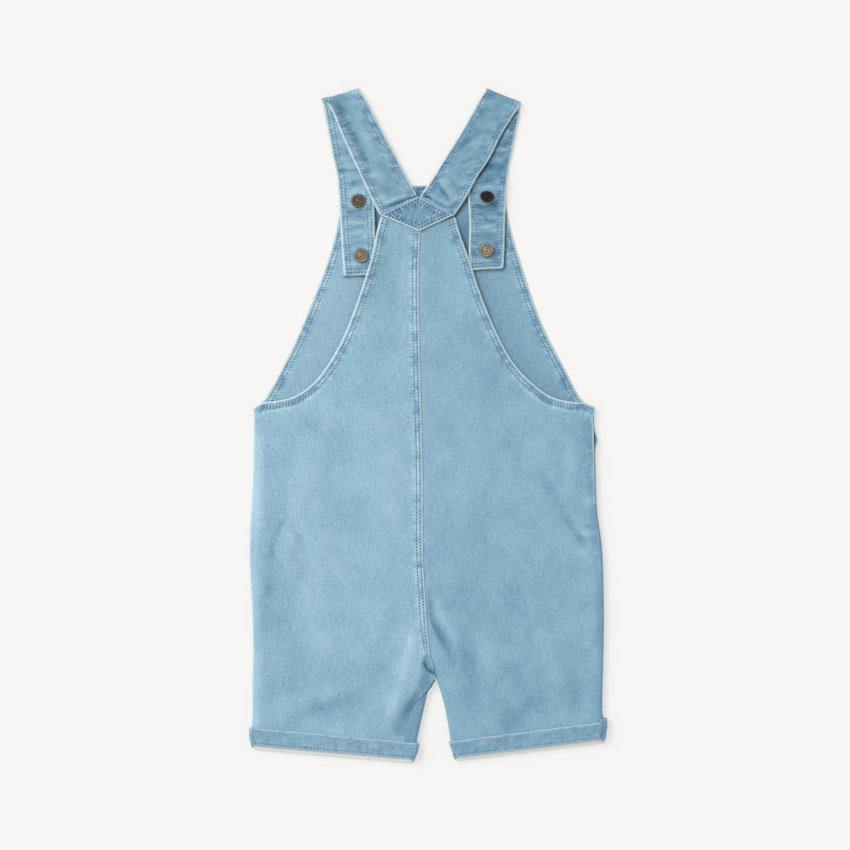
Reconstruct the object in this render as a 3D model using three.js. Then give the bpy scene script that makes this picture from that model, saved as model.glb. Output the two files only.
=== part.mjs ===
// Toddler shortalls in light denim, laid flat on a surface with the back up.
// Millimetres. x runs to the right, y up the garment towards the straps, z up from the surface.
import * as THREE from 'three';

// Cloth and hardware
const denim = 1.3;             // one panel, with its turned seam allowance
const strapDenim = 2.0;        // a strap is a folded and topstitched band
const gap = 0.3;               // between pieces that are sewn or laid together
const cuffRise = denim + gap;  // the leg stands this much inside its cuff
const cuffEase = 0.15;         // extra room between cuff and leg at the two turned edges
const hemDrop = 3.2;           // the front of a leg reaches this much lower than the back
const cuffDrop = 4.0;          // and so does the front of a cuff, just past the cloth inside it
const rollEase = 1.4;          // widens a seam on a turned edge, so that its inner corners keep the gap
const sideBlend = 34;          // width over which the height runs from an edge to the middle
const edgeRun = 3.5;           // flat strip of the back just inside a turned edge
const leastTurn = 1.4;         // shortest strip of the back that can turn down
const snapDiameter = 11.2;
const snapHeight = 1.9;

// Colours of the cloth as laid and lit
const denimLeft = new THREE.Color(0.30, 0.49, 0.62);
const denimRight = new THREE.Color(0.25, 0.44, 0.56);
const denimInside = new THREE.Color(0.28, 0.46, 0.58);
const denimStrap = new THREE.Color(0.25, 0.42, 0.52);
const brass = new THREE.Color(0.42, 0.33, 0.20);

// Outlines, each row a point [x, y]
const centreUpper = [[-6.9, 157.2], [-8.1, 124.4], [-7.4, 60], [-5.2, -23.6]];
const centreFront = [[-3.6, 191.6], [-4.8, 100.4], [-5.2, -23.6]];
const centreLower = [[-5.2, -23.6], [-4.6, -107.6], [-2.1, -153.2], [2.2, -183.3], [6.7, -202.8]];
const left = {
  armhole: [
    [-37.2, 166.8], [-40.2, 155.6], [-45.4, 131.6], [-52.1, 110.0], [-67.0, 70.8], [-82.6, 43.6],
    [-96.1, 29.2], [-108.8, 22.0], [-121.3, 19.2], [-132.0, 17.8], [-138.7, 13.8],
  ],
  bib: [
    [-71.2, 190.8], [-71.0, 168.4], [-77.2, 139.6], [-96.1, 89.5], [-111.6, 54.8], [-132.0, 18.8],
    [-138.7, 13.8],
  ],
  body: [
    [-138.7, 13.8], [-138.8, -3.6], [-139.4, -39.6], [-142.4, -99.6], [-140.3, -147.6],
    [-139.4, -183.6],
  ],
  leg: [
    [-139.4, -183.6], [-140.3, -211.6], [-139.9, -230.0], [-140.7, -243.0], [-140.6, -250.0],
    [-139.2, -255.4],
  ],
  inseam: [
    [6.5, -202.8], [3.2, -206.8], [1.6, -211.6], [0.0, -219.6], [-5.7, -238.8], [-7.8, -251.0],
    [-10.0, -262.0], [-12.4, -266.4],
  ],
};
const right = {
  armhole: [
    [21.8, 166.2], [26.2, 151.1], [32.2, 134.8], [40.8, 108.4], [48.9, 87.6], [67.2, 51.6], [84.7, 32.4],
    [100.2, 22.0], [117.6, 18.2], [123.5, 18.2], [132.8, 15.0],
  ],
  bib: [
    [62.6, 190.3], [63.4, 172.4], [67.1, 153.6], [73.8, 130.8], [90.4, 82.8], [110.0, 43.9], [124.4, 18.8],
    [132.8, 15.0],
  ],
  body: [
    [132.8, 15.0], [134.0, -15.6], [134.6, -39.6], [135.6, -67.6], [139.6, -99.6], [141.0, -147.6],
    [140.8, -180.0],
  ],
  leg: [
    [140.8, -180.0], [139.8, -219.6], [139.9, -230.0], [141.3, -238.0], [141.0, -246.0], [139.8, -250.4],
  ],
  inseam: [
    [6.9, -202.8], [9.4, -210.0], [12.2, -219.6], [16.2, -238.8], [18.2, -251.6], [20.8, -259.5],
    [22.8, -264.6],
  ],
};

// Stations down a half: 0 bib or diamond, 1 underarm corner, 2 crotch, 3 hem.
// sideTop, middleTop and seamTop are the heights of the upper face at the side, the middle and the inner
// edge. floor is the lift of the leg inside its cuff. sideLap and inLap are how far inside the outline the
// side seam and the inseam lie on top. sideCurl and inCurl say how far the front turns up round the edge.
const stationNames = [
  'at', 'sideTop', 'middleTop', 'seamTop', 'floor', 'sideLap', 'inLap', 'sideCurl', 'inCurl',
];
left.stations = table(stationNames, [
  [0.00, 4.4, 4.4, 4.4, 0.0, 0.5, 0.2, 0, 0],
  [0.14, 5.5, 4.2, 4.0, 0.0, 0.5, 0.2, 0, 0],
  [0.33, 5.5, 4.1, 3.8, 0.0, 0.5, 0.2, 0, 0],
  [0.48, 3.6, 4.5, 4.0, 0.0, 0.5, 0.2, 0, 0],
  [0.75, 3.2, 5.0, 4.3, 0.0, 0.5, 0.2, 0, 0],
  [1.00, 4.2, 5.3, 4.6, 0.0, 0.5, 0.2, 0, 0],
  [1.06, 4.8, 5.4, 4.7, 0.0, 0.5, 0.2, 1, 0],
  [1.30, 6.0, 5.6, 5.0, 0.0, 1.1, 0.2, 1, 0],
  [1.70, 6.4, 6.0, 5.2, 0.0, 1.1, 0.2, 1, 0],
  [2.00, 6.4, 6.2, 4.6, 0.0, 1.1, 0.2, 1, 0],
  [2.08, 6.4, 6.2, 4.8, 0.0, 1.1, 0.2, 1, 1],
  [2.20, 6.2, 6.1, 5.0, 0.0, 1.1, 4.2, 1, 1],
  [2.34, 6.0, 6.0, 5.2, 0.0, 1.1, 9.6, 1, 1],
  [2.66, 5.8, 5.8, 5.4, 0.0, 0.5, 11.0, 1, 1],
  [2.78, 6.0, 6.0, 6.0, 1.6, 0.5, 11.0, 1, 1],
  [3.00, 6.0, 6.0, 6.0, 1.6, 0.5, 11.0, 1, 1],
]);
right.stations = table(stationNames, [
  [0.00, 4.4, 4.4, 4.4, 0.0, 0.6, 0.8, 0, 0],
  [0.14, 5.3, 4.2, 4.0, 0.0, 0.6, 0.8, 0, 0],
  [0.33, 5.3, 4.1, 3.8, 0.0, 0.6, 0.8, 0, 0],
  [0.48, 3.6, 4.5, 4.0, 0.0, 0.6, 0.8, 0, 0],
  [0.75, 3.2, 5.0, 4.3, 0.0, 0.6, 0.8, 0, 0],
  [1.00, 4.2, 5.3, 4.6, 0.0, 0.6, 0.8, 0, 0],
  [1.06, 4.8, 5.4, 4.7, 0.0, 0.6, 0.8, 1, 0],
  [1.30, 5.8, 5.6, 5.0, 0.0, 1.5, 0.8, 1, 0],
  [1.70, 6.2, 5.9, 5.2, 0.0, 1.1, 0.8, 1, 0],
  [2.00, 6.3, 6.1, 4.6, 0.0, 1.1, 0.8, 1, 0],
  [2.08, 6.3, 6.1, 4.9, 0.0, 1.1, 0.8, 1, 1],
  [2.20, 6.2, 6.0, 5.6, 0.0, 1.1, 0.8, 1, 1],
  [2.66, 5.8, 5.8, 5.6, 0.0, 0.5, 0.8, 1, 1],
  [2.78, 6.0, 6.0, 6.0, 1.6, 0.5, 0.8, 1, 1],
  [3.00, 6.0, 6.0, 6.0, 1.6, 0.5, 0.8, 1, 1],
]);

// Large soft folds of the back: a trough is below zero, a ridge above.
const foldInset = 7;           // they fade out over this width at the edges of a panel
const foldsEnd = 2.72;         // and before this station, where the cuff begins
const folds = table(['x1', 'y1', 'x2', 'y2', 'width', 'rise'], [
  [-112, -58, -124, -92, 5, -1.3],
  [-124, -92, -132, -188, 5.5, -1.5],
  [-131, -40, -134, -150, 6, 0.5],
  [95, -46, 124, -90, 5.5, -1.3],
  [3, -138, 7, -160, 5, -1.3],
  [7, -160, 18, -186, 5, -1.4],
  [31, -170, 37, -222, 8, -0.9],
  [46, -170, 64, -224, 9, 0.6],
  [-14, -165, -30, -238, 7, 0.9],
  [-10, -218, -22, -240, 6, -1.2],
  [-60, -221, -118, -243, 7, -0.9],
  [84, -224, 54, -243, 8, -0.8],
  [122, -206, 118, -232, 7, -0.6],
  [-70, 10, -58, -80, 16, -0.6],
  [62, 0, 48, -90, 18, -0.5],
  [-92, -120, -78, -190, 14, 0.5],
  [84, -130, 96, -200, 14, 0.5],
  [-26, 120, -50, 30, 11, -0.4],
  [26, 110, 56, 34, 11, -0.4],
]);

// Straps, from the end on the bib, over the shoulder fold, to the diamond.
// a and b are the two edges; az and bz are the heights of the face that is outermost at the fold.
const strapNames = ['ax', 'ay', 'az', 'bx', 'by', 'bz'];
const strapLeft = {
  front: table(strapNames, [
    [-66.5, 119.9, 1.6, -40.8, 120.6, 1.6],
    [-68.3, 143.2, 1.6, -42.0, 143.6, 1.6],
    [-69.7, 166.8, 1.6, -42.8, 167.2, 1.6],
    [-70.8, 183.0, 1.6, -43.5, 183.2, 1.6],
    [-71.7, 193.4, 1.6, -44.5, 193.6, 1.6],
    [-73.0, 203.0, 0.0, -45.4, 203.4, 0.0],
    [-76.0, 216.7, 0.0, -46.9, 217.4, 0.0],
    [-80.5, 240.4, 0.0, -49.6, 242.4, 0.0],
    [-82.6, 251.0, 0.0, -51.8, 256.6, 0.0],
  ]),
  fold: table(['ax', 'ay', 'bx', 'by'], [[-84.8, 261.2, -55.0, 269.1]])[0],
  back: table(strapNames, [
    [-78.4, 254.6, 4.3, -50.0, 260.6, 4.3],
    [-74.0, 247.0, 4.3, -46.0, 253.2, 4.3],
    [-68.0, 231.9, 4.4, -36.0, 234.0, 4.3],
    [-60.0, 214.0, 5.2, -26.1, 215.6, 4.3],
    [-52.8, 198.8, 6.1, -17.6, 199.2, 4.4],
    [-44.8, 181.5, 6.0, -9.6, 184.6, 4.4],
    [-38.7, 170.3, 4.8, -8.8, 182.6, 4.4],
    [-34.2, 169.2, 4.4, -8.6, 179.9, 4.4],
  ]),
};
const strapRight = {
  front: table(strapNames, [
    [33.6, 124.4, 1.6, 60.0, 126.0, 1.6],
    [33.4, 140.2, 1.6, 60.8, 140.6, 1.6],
    [33.9, 162.8, 1.6, 61.4, 163.0, 1.6],
    [32.9, 183.0, 1.6, 62.3, 183.0, 1.6],
    [34.2, 193.6, 1.6, 63.2, 193.4, 1.6],
    [36.0, 203.4, 0.0, 64.4, 203.0, 0.0],
    [38.4, 217.4, 0.0, 66.8, 216.7, 0.0],
    [42.4, 242.0, 0.0, 71.2, 238.4, 0.0],
    [45.0, 256.4, 0.0, 73.2, 248.0, 0.0],
  ]),
  fold: table(['ax', 'ay', 'bx', 'by'], [[47.4, 269.7, 74.8, 258.3]])[0],
  back: table(strapNames, [
    [42.0, 261.0, 4.3, 69.8, 250.4, 4.3],
    [36.8, 251.6, 4.3, 65.4, 243.6, 4.3],
    [25.4, 231.6, 4.3, 57.3, 230.0, 4.5],
    [13.6, 212.8, 4.3, 48.6, 212.7, 5.2],
    [4.6, 198.0, 4.4, 39.2, 198.4, 6.1],
    [-4.4, 184.8, 4.4, 30.6, 182.4, 6.0],
    [-5.4, 182.6, 4.4, 22.0, 170.2, 4.8],
    [-6.0, 179.9, 4.4, 17.6, 169.2, 4.4],
  ]),
};

// The patch that covers the strap ends and the tops of the back panels
const diamond = {
  leftTip: [-37.6, 167.9],
  topTip: [-7.6, 182.5],
  rightTip: [20.8, 167.9],
  bottomTip: [-6.9, 155.2],
  under: 4.7,
  crown: 0.5,
  steps: 6,
};

// Snap caps on the front runs of the straps
const snaps = table(['x', 'y'], [[-55.3, 179.2], [-53.2, 135.8], [47.4, 183.0], [47.0, 139.8]]);
const snapNames = ['snap_upper_left', 'snap_lower_left', 'snap_upper_right', 'snap_lower_right'];

// Where the sections are taken, in stations
const bibStations = [0, 0.06, 0.12, 0.19, 0.26, 0.33, 0.41, 0.5, 0.6, 0.7, 0.79, 0.87, 0.94];
const bodyStations = [1, 1.025, 1.05, 1.1, 1.18, 1.28, 1.4, 1.52, 1.64, 1.76, 1.87, 1.95];
const legStations = [2, 2.04, 2.08, 2.14, 2.22, 2.34, 2.5, 2.66, 2.72, 2.78, 2.86, 2.94, 3];
const cuffStations = [2.81, 2.86, 2.94, 3];
const rollSteps = 5;
const overSteps = 2;
const floorSteps = 4;
const topShares = [0, 0.05, 0.11, 0.18, 0.28, 0.4, 0.52, 0.66, 0.79, 0.9, 1];

function table(names, rows) {
  return rows.map((row) => Object.fromEntries(names.map((name, index) => [name, row[index]])));
}

function smooth(value) {
  const share = Math.min(1, Math.max(0, value));
  return share * share * (3 - 2 * share);
}

// A smooth line through the points of an outline, read by the share of its length
function outline(points) {
  const places = points.map(([x, y]) => new THREE.Vector3(x, y, 0));
  const curve = new THREE.CatmullRomCurve3(places, false, 'centripetal');
  curve.arcLengthDivisions = 400;
  return (share) => curve.getPointAt(share);
}

// The values of a table of stations between its rows
function atStation(stations, at) {
  const last = stations.length - 1;
  const next = Math.min(last, Math.max(1, stations.findIndex((row) => row.at >= at)));
  const before = stations[next - 1];
  const after = stations[next];
  const share = smooth((at - before.at) / (after.at - before.at));
  const between = (name) => THREE.MathUtils.lerp(before[name], after[name], share);
  return Object.fromEntries(stationNames.map((name) => [name, between(name)]));
}

// The two ends of one slanting section across a half: at the outer edge and at the inner edge
function sectionEnds(half, at, outerUpper, innerUpper) {
  const zone = Math.min(2, Math.floor(at));
  const outer = [outerUpper, half.lines.body, half.lines.leg][zone];
  const inner = [innerUpper, lines.centreLower, half.lines.inseam][zone];
  return { from: outer(at - zone), to: inner(at - zone) };
}

// Half of a flattened ring seen along the leg. Returns [inward, up] at a length of cloth measured from the
// point where the front leaves the surface. The cloth turns up round the edge with the given radius.
function rollPoint(length, radius, wrapped, curl) {
  const flat = wrapped * (1 - curl);
  const turn = Math.min(Math.PI, (wrapped * curl) / radius);
  const reach = flat + radius * Math.sin(Math.min(turn, Math.PI / 2));
  if (length <= flat) return [reach - length, 0];
  const angle = (length - flat) / radius;
  if (angle <= Math.PI) return [reach - flat - radius * Math.sin(angle), radius * (1 - Math.cos(angle))];
  return [reach - flat + (angle - Math.PI) * radius, 2 * radius];
}

// Length of cloth from the surface round the edge to a seam that lies lap inside the outline on top
function wrapLength(radius, lap) {
  if (lap >= radius) return Math.PI * radius + lap - radius;
  return radius * (Math.PI - Math.asin(1 - lap / radius));
}

// The gap at a seam on the roll, measured on the outer face so that the inner corners keep it too
function rollGap(radius) {
  return (rollEase * gap * radius) / (radius - denim);
}

function foldRise(x, y) {
  const point = new THREE.Vector2(x, y);
  let rise = 0;
  for (const fold of folds) {
    const start = new THREE.Vector2(fold.x1, fold.y1);
    const along = new THREE.Vector2(fold.x2, fold.y2).sub(start);
    const share = THREE.MathUtils.clamp(point.clone().sub(start).dot(along) / along.lengthSq(), 0, 1);
    const distance = point.distanceTo(start.addScaledVector(along, share));
    rise += fold.rise * Math.exp(-((distance / fold.width) ** 2));
  }
  return rise;
}

// The lower panel of a half: from its side seam edge, round the side, along the surface to the centre seam,
// or in the leg round the inner edge to the inseam. Points are on its outer face.
function frontRows(half) {
  const rows = [];
  for (const at of [...bibStations, ...bodyStations, ...legStations]) {
    const { from, to } = sectionEnds(half, at, half.lines.bib, lines.centreFront);
    const here = atStation(half.stations, at);
    const width = from.distanceTo(to);
    const across = to.clone().sub(from).normalize();
    const drop = at === 3 ? hemDrop : 0;
    const section = [];
    const place = (inward, up) => {
      const point = from.clone().addScaledVector(across, inward);
      const lowered = drop * smooth(1 - up / (here.sideTop - here.floor));
      section.push(new THREE.Vector3(point.x, point.y - lowered, here.floor + up));
    };
    const sideRadius = (here.sideTop - here.floor) / 2;
    const sideWrap = wrapLength(sideRadius, here.sideLap) - rollGap(sideRadius) / 2;
    for (let step = 0; step < rollSteps; step += 1) {
      place(...rollPoint(sideWrap * (1 - step / rollSteps), sideRadius, sideWrap, here.sideCurl));
    }
    const innerRadius = (here.seamTop - here.floor) / 2;
    const innerWrap = wrapLength(innerRadius, here.inLap) - rollGap(innerRadius) / 2;
    const sideTangent = rollPoint(0, sideRadius, sideWrap, here.sideCurl)[0];
    const innerTangent = rollPoint(0, innerRadius, innerWrap, here.inCurl)[0];
    const seam = gap / 2;
    const floorEnd = width - innerTangent - seam;
    for (let step = 0; step < floorSteps; step += 1) {
      place(THREE.MathUtils.lerp(sideTangent, floorEnd, step / floorSteps), 0);
    }
    const turnedPart = Math.min(Math.PI * innerRadius, (innerWrap * rollSteps) / (rollSteps + overSteps));
    for (let step = 0; step <= rollSteps + overSteps; step += 1) {
      const onTop = Math.max(0, step - rollSteps) / overSteps;
      const length = turnedPart * Math.min(1, step / rollSteps) + (innerWrap - turnedPart) * onTop;
      const [inward, up] = rollPoint(length, innerRadius, innerWrap, here.inCurl);
      place(width - inward - seam, up);
    }
    rows.push(section);
  }
  return rows;
}

// Height of the upper face of the back over a point of a section
function topHeight(here, inward, width, point, at) {
  const blend = Math.min(sideBlend, width / 2);
  const bySide = smooth(inward / blend);
  const bySeam = smooth((width - inward) / blend);
  const edges = here.sideTop * (1 - bySide) + here.seamTop * (1 - bySeam);
  const plain = here.middleTop * bySide * bySeam + edges;
  const inside = smooth(inward / foldInset) * smooth((width - inward) / foldInset);
  const room = inside * smooth((foldsEnd - at) / 0.2);
  const lowest = 2 * denim + gap + here.floor;
  return Math.max(lowest, plain + room * foldRise(point.x, point.y));
}

// One edge of the upper panel: it turns down from the top face towards the seam on the roll
function topEdge(radius, lap, curl) {
  const turned = Math.max(0, Math.PI * radius - wrapLength(radius, lap) - rollGap(radius) / 2);
  const start = curl * (lap + (turned > 0 ? 0 : gap / 2));
  const reach = start + turned * (1 - curl) + radius * Math.sin((curl * turned) / radius);
  const points = [];
  const turn = Math.max(turned, leastTurn);
  for (const fromEdge of [0, turn / 2, turn, turn + edgeRun]) {
    const beforeTop = turned * curl - fromEdge;
    if (beforeTop > 0) {
      const angle = beforeTop / radius;
      points.push([reach - turned * (1 - curl) - radius * Math.sin(angle), radius * (1 - Math.cos(angle))]);
    } else {
      points.push([reach - turned * (1 - curl) - beforeTop, 0]);
    }
  }
  return points;
}

// The upper panel of a half, from its side seam edge to the centre seam or the inseam, on its outer face
function backRows(half) {
  const rows = [];
  const edgeSteps = 3;
  for (const at of [...bibStations, ...bodyStations, ...legStations]) {
    const { from, to } = sectionEnds(half, at, half.lines.armhole, lines.centreUpper);
    const here = atStation(half.stations, at);
    const width = from.distanceTo(to);
    const across = to.clone().sub(from).normalize();
    const section = [];
    const place = (inward, down) => {
      const point = from.clone().addScaledVector(across, inward);
      const height = topHeight(here, inward, width, point, at) - down;
      section.push(new THREE.Vector3(point.x, point.y, height));
    };
    const sideRadius = (here.sideTop - here.floor) / 2;
    const innerRadius = (here.seamTop - here.floor) / 2;
    const sideEdge = topEdge(sideRadius, here.sideLap, here.sideCurl);
    const innerEdge = topEdge(innerRadius, here.inLap, here.inCurl);
    const start = sideEdge[edgeSteps][0];
    const end = width - innerEdge[edgeSteps][0] - gap / 2;
    sideEdge.slice(0, edgeSteps).forEach(([inward, down]) => place(inward, down));
    topShares.forEach((share) => place(THREE.MathUtils.lerp(start, end, share), 0));
    const turnedDown = innerEdge.slice(0, edgeSteps).reverse();
    turnedDown.forEach(([inward, down]) => place(width - inward - gap / 2, down));
    rows.push(section);
  }
  return rows;
}

// The next point past the end of a curved row
function beyond(end, next, third) {
  return end.clone().sub(next).multiplyScalar(3).add(third);
}

// Unit normals of a grid of points, closed across the columns where it is a ring
function gridNormals(rows, ring) {
  return rows.map((row, i) => row.map((point, j) => {
    const last = row.length - 1;
    const ends = [beyond(row[0], row[1], row[2]), beyond(row[last], row[last - 1], row[last - 2])];
    const before = ring ? row[(j + last) % row.length] : row[j - 1] ?? ends[0];
    const after = ring ? row[(j + 1) % row.length] : row[j + 1] ?? ends[1];
    const above = rows[Math.max(0, i - 1)][j];
    const below = rows[Math.min(rows.length - 1, i + 1)][j];
    const across = after.clone().sub(before);
    const along = below.clone().sub(above);
    return across.cross(along).normalize();
  }));
}

// A closed wall: the given face, the same face moved by the thickness, and the rims between them
function wall(rows, thickness, ring = false) {
  const normals = gridNormals(rows, ring);
  const columns = rows[0].length;
  const cells = ring ? columns : columns - 1;
  const sheet = rows.length * columns;
  const positions = [];
  rows.flat().forEach((point) => positions.push(point.x, point.y, point.z));
  rows.forEach((row, i) => row.forEach((point, j) => {
    const inner = point.clone().addScaledVector(normals[i][j], -thickness);
    positions.push(inner.x, inner.y, inner.z);
  }));
  const indices = [];
  const at = (i, j, inner) => inner * sheet + i * columns + (j % columns);
  const quad = (a, b, c, d) => indices.push(a, b, c, a, c, d);
  for (let i = 0; i < rows.length - 1; i += 1) {
    for (let j = 0; j < cells; j += 1) {
      quad(at(i, j, 0), at(i, j + 1, 0), at(i + 1, j + 1, 0), at(i + 1, j, 0));
      quad(at(i, j, 1), at(i + 1, j, 1), at(i + 1, j + 1, 1), at(i, j + 1, 1));
    }
  }
  for (let j = 0; j < cells; j += 1) {
    const end = rows.length - 1;
    quad(at(0, j, 0), at(0, j, 1), at(0, j + 1, 1), at(0, j + 1, 0));
    quad(at(end, j, 0), at(end, j + 1, 0), at(end, j + 1, 1), at(end, j, 1));
  }
  for (let i = 0; i < rows.length - 1 && !ring; i += 1) {
    const edge = columns - 1;
    quad(at(i, 0, 0), at(i + 1, 0, 0), at(i + 1, 0, 1), at(i, 0, 1));
    quad(at(i, edge, 0), at(i, edge, 1), at(i + 1, edge, 1), at(i + 1, edge, 0));
  }
  const geometry = new THREE.BufferGeometry();
  geometry.setAttribute('position', new THREE.Float32BufferAttribute(positions, 3));
  geometry.setIndex(indices);
  geometry.computeVertexNormals();
  return geometry;
}

// The cuff is a ring round the end of the leg, made from the leg's own outline moved out
function cuffRows(half) {
  const turnSteps = 8;
  const flatSteps = 5;
  return cuffStations.map((at) => {
    const { from, to } = sectionEnds(half, at);
    const here = atStation(half.stations, at);
    const across = to.clone().sub(from).normalize();
    const height = here.sideTop + cuffRise;
    const radius = height / 2;
    const start = radius - cuffRise - cuffEase;
    const end = from.distanceTo(to) - gap / 2 - start;
    const drop = at === 3 ? cuffDrop : 0;
    const section = [];
    const place = (inward, up) => {
      const point = from.clone().addScaledVector(across, inward);
      section.push(new THREE.Vector3(point.x, point.y - drop * smooth(1 - up / height), up));
    };
    for (let step = 0; step < flatSteps; step += 1) {
      place(THREE.MathUtils.lerp(start, end, step / flatSteps), height);
    }
    for (let step = 0; step < turnSteps; step += 1) {
      const angle = (step / turnSteps) * Math.PI;
      place(end + radius * Math.sin(angle), radius * (1 + Math.cos(angle)));
    }
    for (let step = 0; step < flatSteps; step += 1) {
      place(THREE.MathUtils.lerp(end, start, step / flatSteps), 0);
    }
    for (let step = 0; step < turnSteps; step += 1) {
      const angle = (step / turnSteps) * Math.PI;
      place(start - radius * Math.sin(angle), radius * (1 - Math.cos(angle)));
    }
    return section;
  });
}

// A strap is one ribbon: front run, half turn about the shoulder fold, back run
function strapRows(strap) {
  const acrossSteps = 4;
  const turnSteps = 6;
  const strapRow = (row) => {
    const a = new THREE.Vector3(row.ax, row.ay, row.az);
    const b = new THREE.Vector3(row.bx, row.by, row.bz);
    return Array.from({ length: acrossSteps + 1 }, (_, step) => a.clone().lerp(b, step / acrossSteps));
  };
  const rows = strap.front.map(strapRow);
  const radius = strapDenim + gap / 2;
  const { ax, ay, bx, by } = strap.fold;
  const outward = new THREE.Vector2(ay - by, bx - ax).normalize();
  for (let step = 0; step <= turnSteps; step += 1) {
    const angle = (step / turnSteps) * Math.PI;
    const out = radius * (Math.sin(angle) - 1);
    const up = radius * (1 - Math.cos(angle));
    rows.push(strapRow({
      ax: ax + outward.x * out, ay: ay + outward.y * out, az: up,
      bx: bx + outward.x * out, by: by + outward.y * out, bz: up,
    }));
  }
  return [...rows, ...strap.back.map(strapRow)];
}

function diamondRows() {
  const corner = ([x, y]) => new THREE.Vector3(x, y, diamond.under + denim);
  const west = corner(diamond.leftTip);
  const north = corner(diamond.topTip);
  const east = corner(diamond.rightTip);
  const south = corner(diamond.bottomTip);
  const shares = Array.from({ length: diamond.steps + 1 }, (_, step) => step / diamond.steps);
  return shares.map((down) => shares.map((over) => {
    const upper = west.clone().lerp(north, over);
    const lower = south.clone().lerp(east, over);
    const point = upper.lerp(lower, down);
    point.z += diamond.crown * 16 * over * (1 - over) * down * (1 - down);
    return point;
  }));
}

// A pressed cap: flat underside, rounded rim, a sunk ring and a small centre boss
function snapGeometry() {
  const radius = snapDiameter / 2;
  const shares = [
    [0, 0], [0.9, 0], [1, 0.25], [1, 0.6], [0.9, 0.92], [0.78, 1], [0.66, 0.86], [0.34, 0.8], [0.2, 0.95],
    [0, 1],
  ];
  const profile = shares.map(([out, up]) => new THREE.Vector2(out * radius, up * snapHeight));
  const geometry = new THREE.LatheGeometry(profile, 20);
  geometry.rotateX(Math.PI / 2);
  return geometry;
}

function piece(name, geometry, color, metalness = 0) {
  const roughness = metalness > 0 ? 0.4 : 0.9;
  const mesh = new THREE.Mesh(geometry, new THREE.MeshStandardMaterial({ color, roughness, metalness }));
  mesh.name = name;
  return mesh;
}

// Turns the faces of a geometry outward where its rows run the other way round
function outward(geometry) {
  const place = geometry.attributes.position;
  const index = geometry.index.array;
  const corner = (k) => new THREE.Vector3().fromBufferAttribute(place, index[k]);
  let volume = 0;
  for (let k = 0; k < index.length; k += 3) {
    volume += corner(k).dot(corner(k + 1).cross(corner(k + 2)));
  }
  if (volume < 0) {
    for (let k = 0; k < index.length; k += 3) {
      [index[k + 1], index[k + 2]] = [index[k + 2], index[k + 1]];
    }
  }
  return geometry;
}

const lines = {
  centreUpper: outline(centreUpper),
  centreFront: outline(centreFront),
  centreLower: outline(centreLower),
};
for (const half of [left, right]) {
  const names = ['armhole', 'bib', 'body', 'leg', 'inseam'];
  half.lines = Object.fromEntries(names.map((name) => [name, outline(half[name])]));
}

const garment = new THREE.Group();
// Sections of the left half run to the right and those of the right half to the left, so the side on which
// a wall gets its thickness changes sign between them
const halves = [
  { half: left, word: 'left', color: denimLeft, inner: denim },
  { half: right, word: 'right', color: denimRight, inner: -denim },
];
for (const { half, word, color, inner } of halves) {
  garment.add(piece(`front_${word}`, outward(wall(frontRows(half), inner)), denimInside));
  garment.add(piece(`back_${word}`, outward(wall(backRows(half), -inner)), color));
  garment.add(piece(`cuff_${word}`, outward(wall(cuffRows(half), -inner, true)), color));
}
garment.add(piece('strap_left', outward(wall(strapRows(strapLeft), -strapDenim)), denimStrap));
garment.add(piece('strap_right', outward(wall(strapRows(strapRight), -strapDenim)), denimStrap));
garment.add(piece('back_diamond', outward(wall(diamondRows(), -denim)), denimStrap));
snaps.forEach(({ x, y }, index) => {
  const snap = piece(snapNames[index], snapGeometry(), brass, 1);
  snap.position.set(x, y, cuffRise + strapDenim + gap);
  garment.add(snap);
});

// The origin is under the middle of the garment, on the surface it lies on
const box = new THREE.Box3().setFromObject(garment);
garment.position.set(-(box.min.x + box.max.x) / 2, -(box.min.y + box.max.y) / 2, -box.min.z);

export default garment;
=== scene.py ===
# Toddler shortalls in light washed denim, laid flat on a pale surface with the back up.
# Lengths are in millimetres until a mesh is made. x runs to the right, y up the garment, z up.
import math
import bpy
import numpy as np
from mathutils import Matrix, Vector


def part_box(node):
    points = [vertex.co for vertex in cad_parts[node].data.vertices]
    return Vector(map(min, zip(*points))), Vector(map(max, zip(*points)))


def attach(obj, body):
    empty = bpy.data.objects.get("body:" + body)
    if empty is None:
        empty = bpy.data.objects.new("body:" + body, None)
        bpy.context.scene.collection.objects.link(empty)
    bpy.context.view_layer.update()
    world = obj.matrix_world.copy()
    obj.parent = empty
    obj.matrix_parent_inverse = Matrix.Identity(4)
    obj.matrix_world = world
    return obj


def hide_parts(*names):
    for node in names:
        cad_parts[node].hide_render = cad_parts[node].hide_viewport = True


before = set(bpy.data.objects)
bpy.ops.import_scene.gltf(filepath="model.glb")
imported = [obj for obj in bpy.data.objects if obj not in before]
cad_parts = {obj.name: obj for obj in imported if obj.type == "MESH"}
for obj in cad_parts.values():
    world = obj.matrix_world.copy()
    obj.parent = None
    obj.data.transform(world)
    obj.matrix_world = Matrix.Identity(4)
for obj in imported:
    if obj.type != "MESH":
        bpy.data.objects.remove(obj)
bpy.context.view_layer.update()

# Surface, light and camera
# The garment lies on a plain off-white board that glows a little from below. Soft daylight falls on it from
# the upper left and a pale room fills the rest. The camera looks straight down.
BOARD_REACH = 3.0
BOARD_DROP = 0.0002
BOARD_GLOW = 0.519
DAYLIGHT_STRENGTH = 2.0
DAYLIGHT_SPREAD = math.radians(34)
DAYLIGHT_TILT = math.radians(49)
DAYLIGHT_TURN = math.radians(232)
ROOM_STRENGTH = 0.66
PICTURE_WIDTH = 0.68
PICTURE_MIDDLE = (-0.0024, 0.0004)
CLOTH_HEIGHT = 0.003


def put_in_scene(name, data):
    placed = bpy.data.objects.new(name, data)
    bpy.context.collection.objects.link(placed)
    return placed


def node_input(node, name, value):
    node.inputs[name].default_value = value


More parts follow.
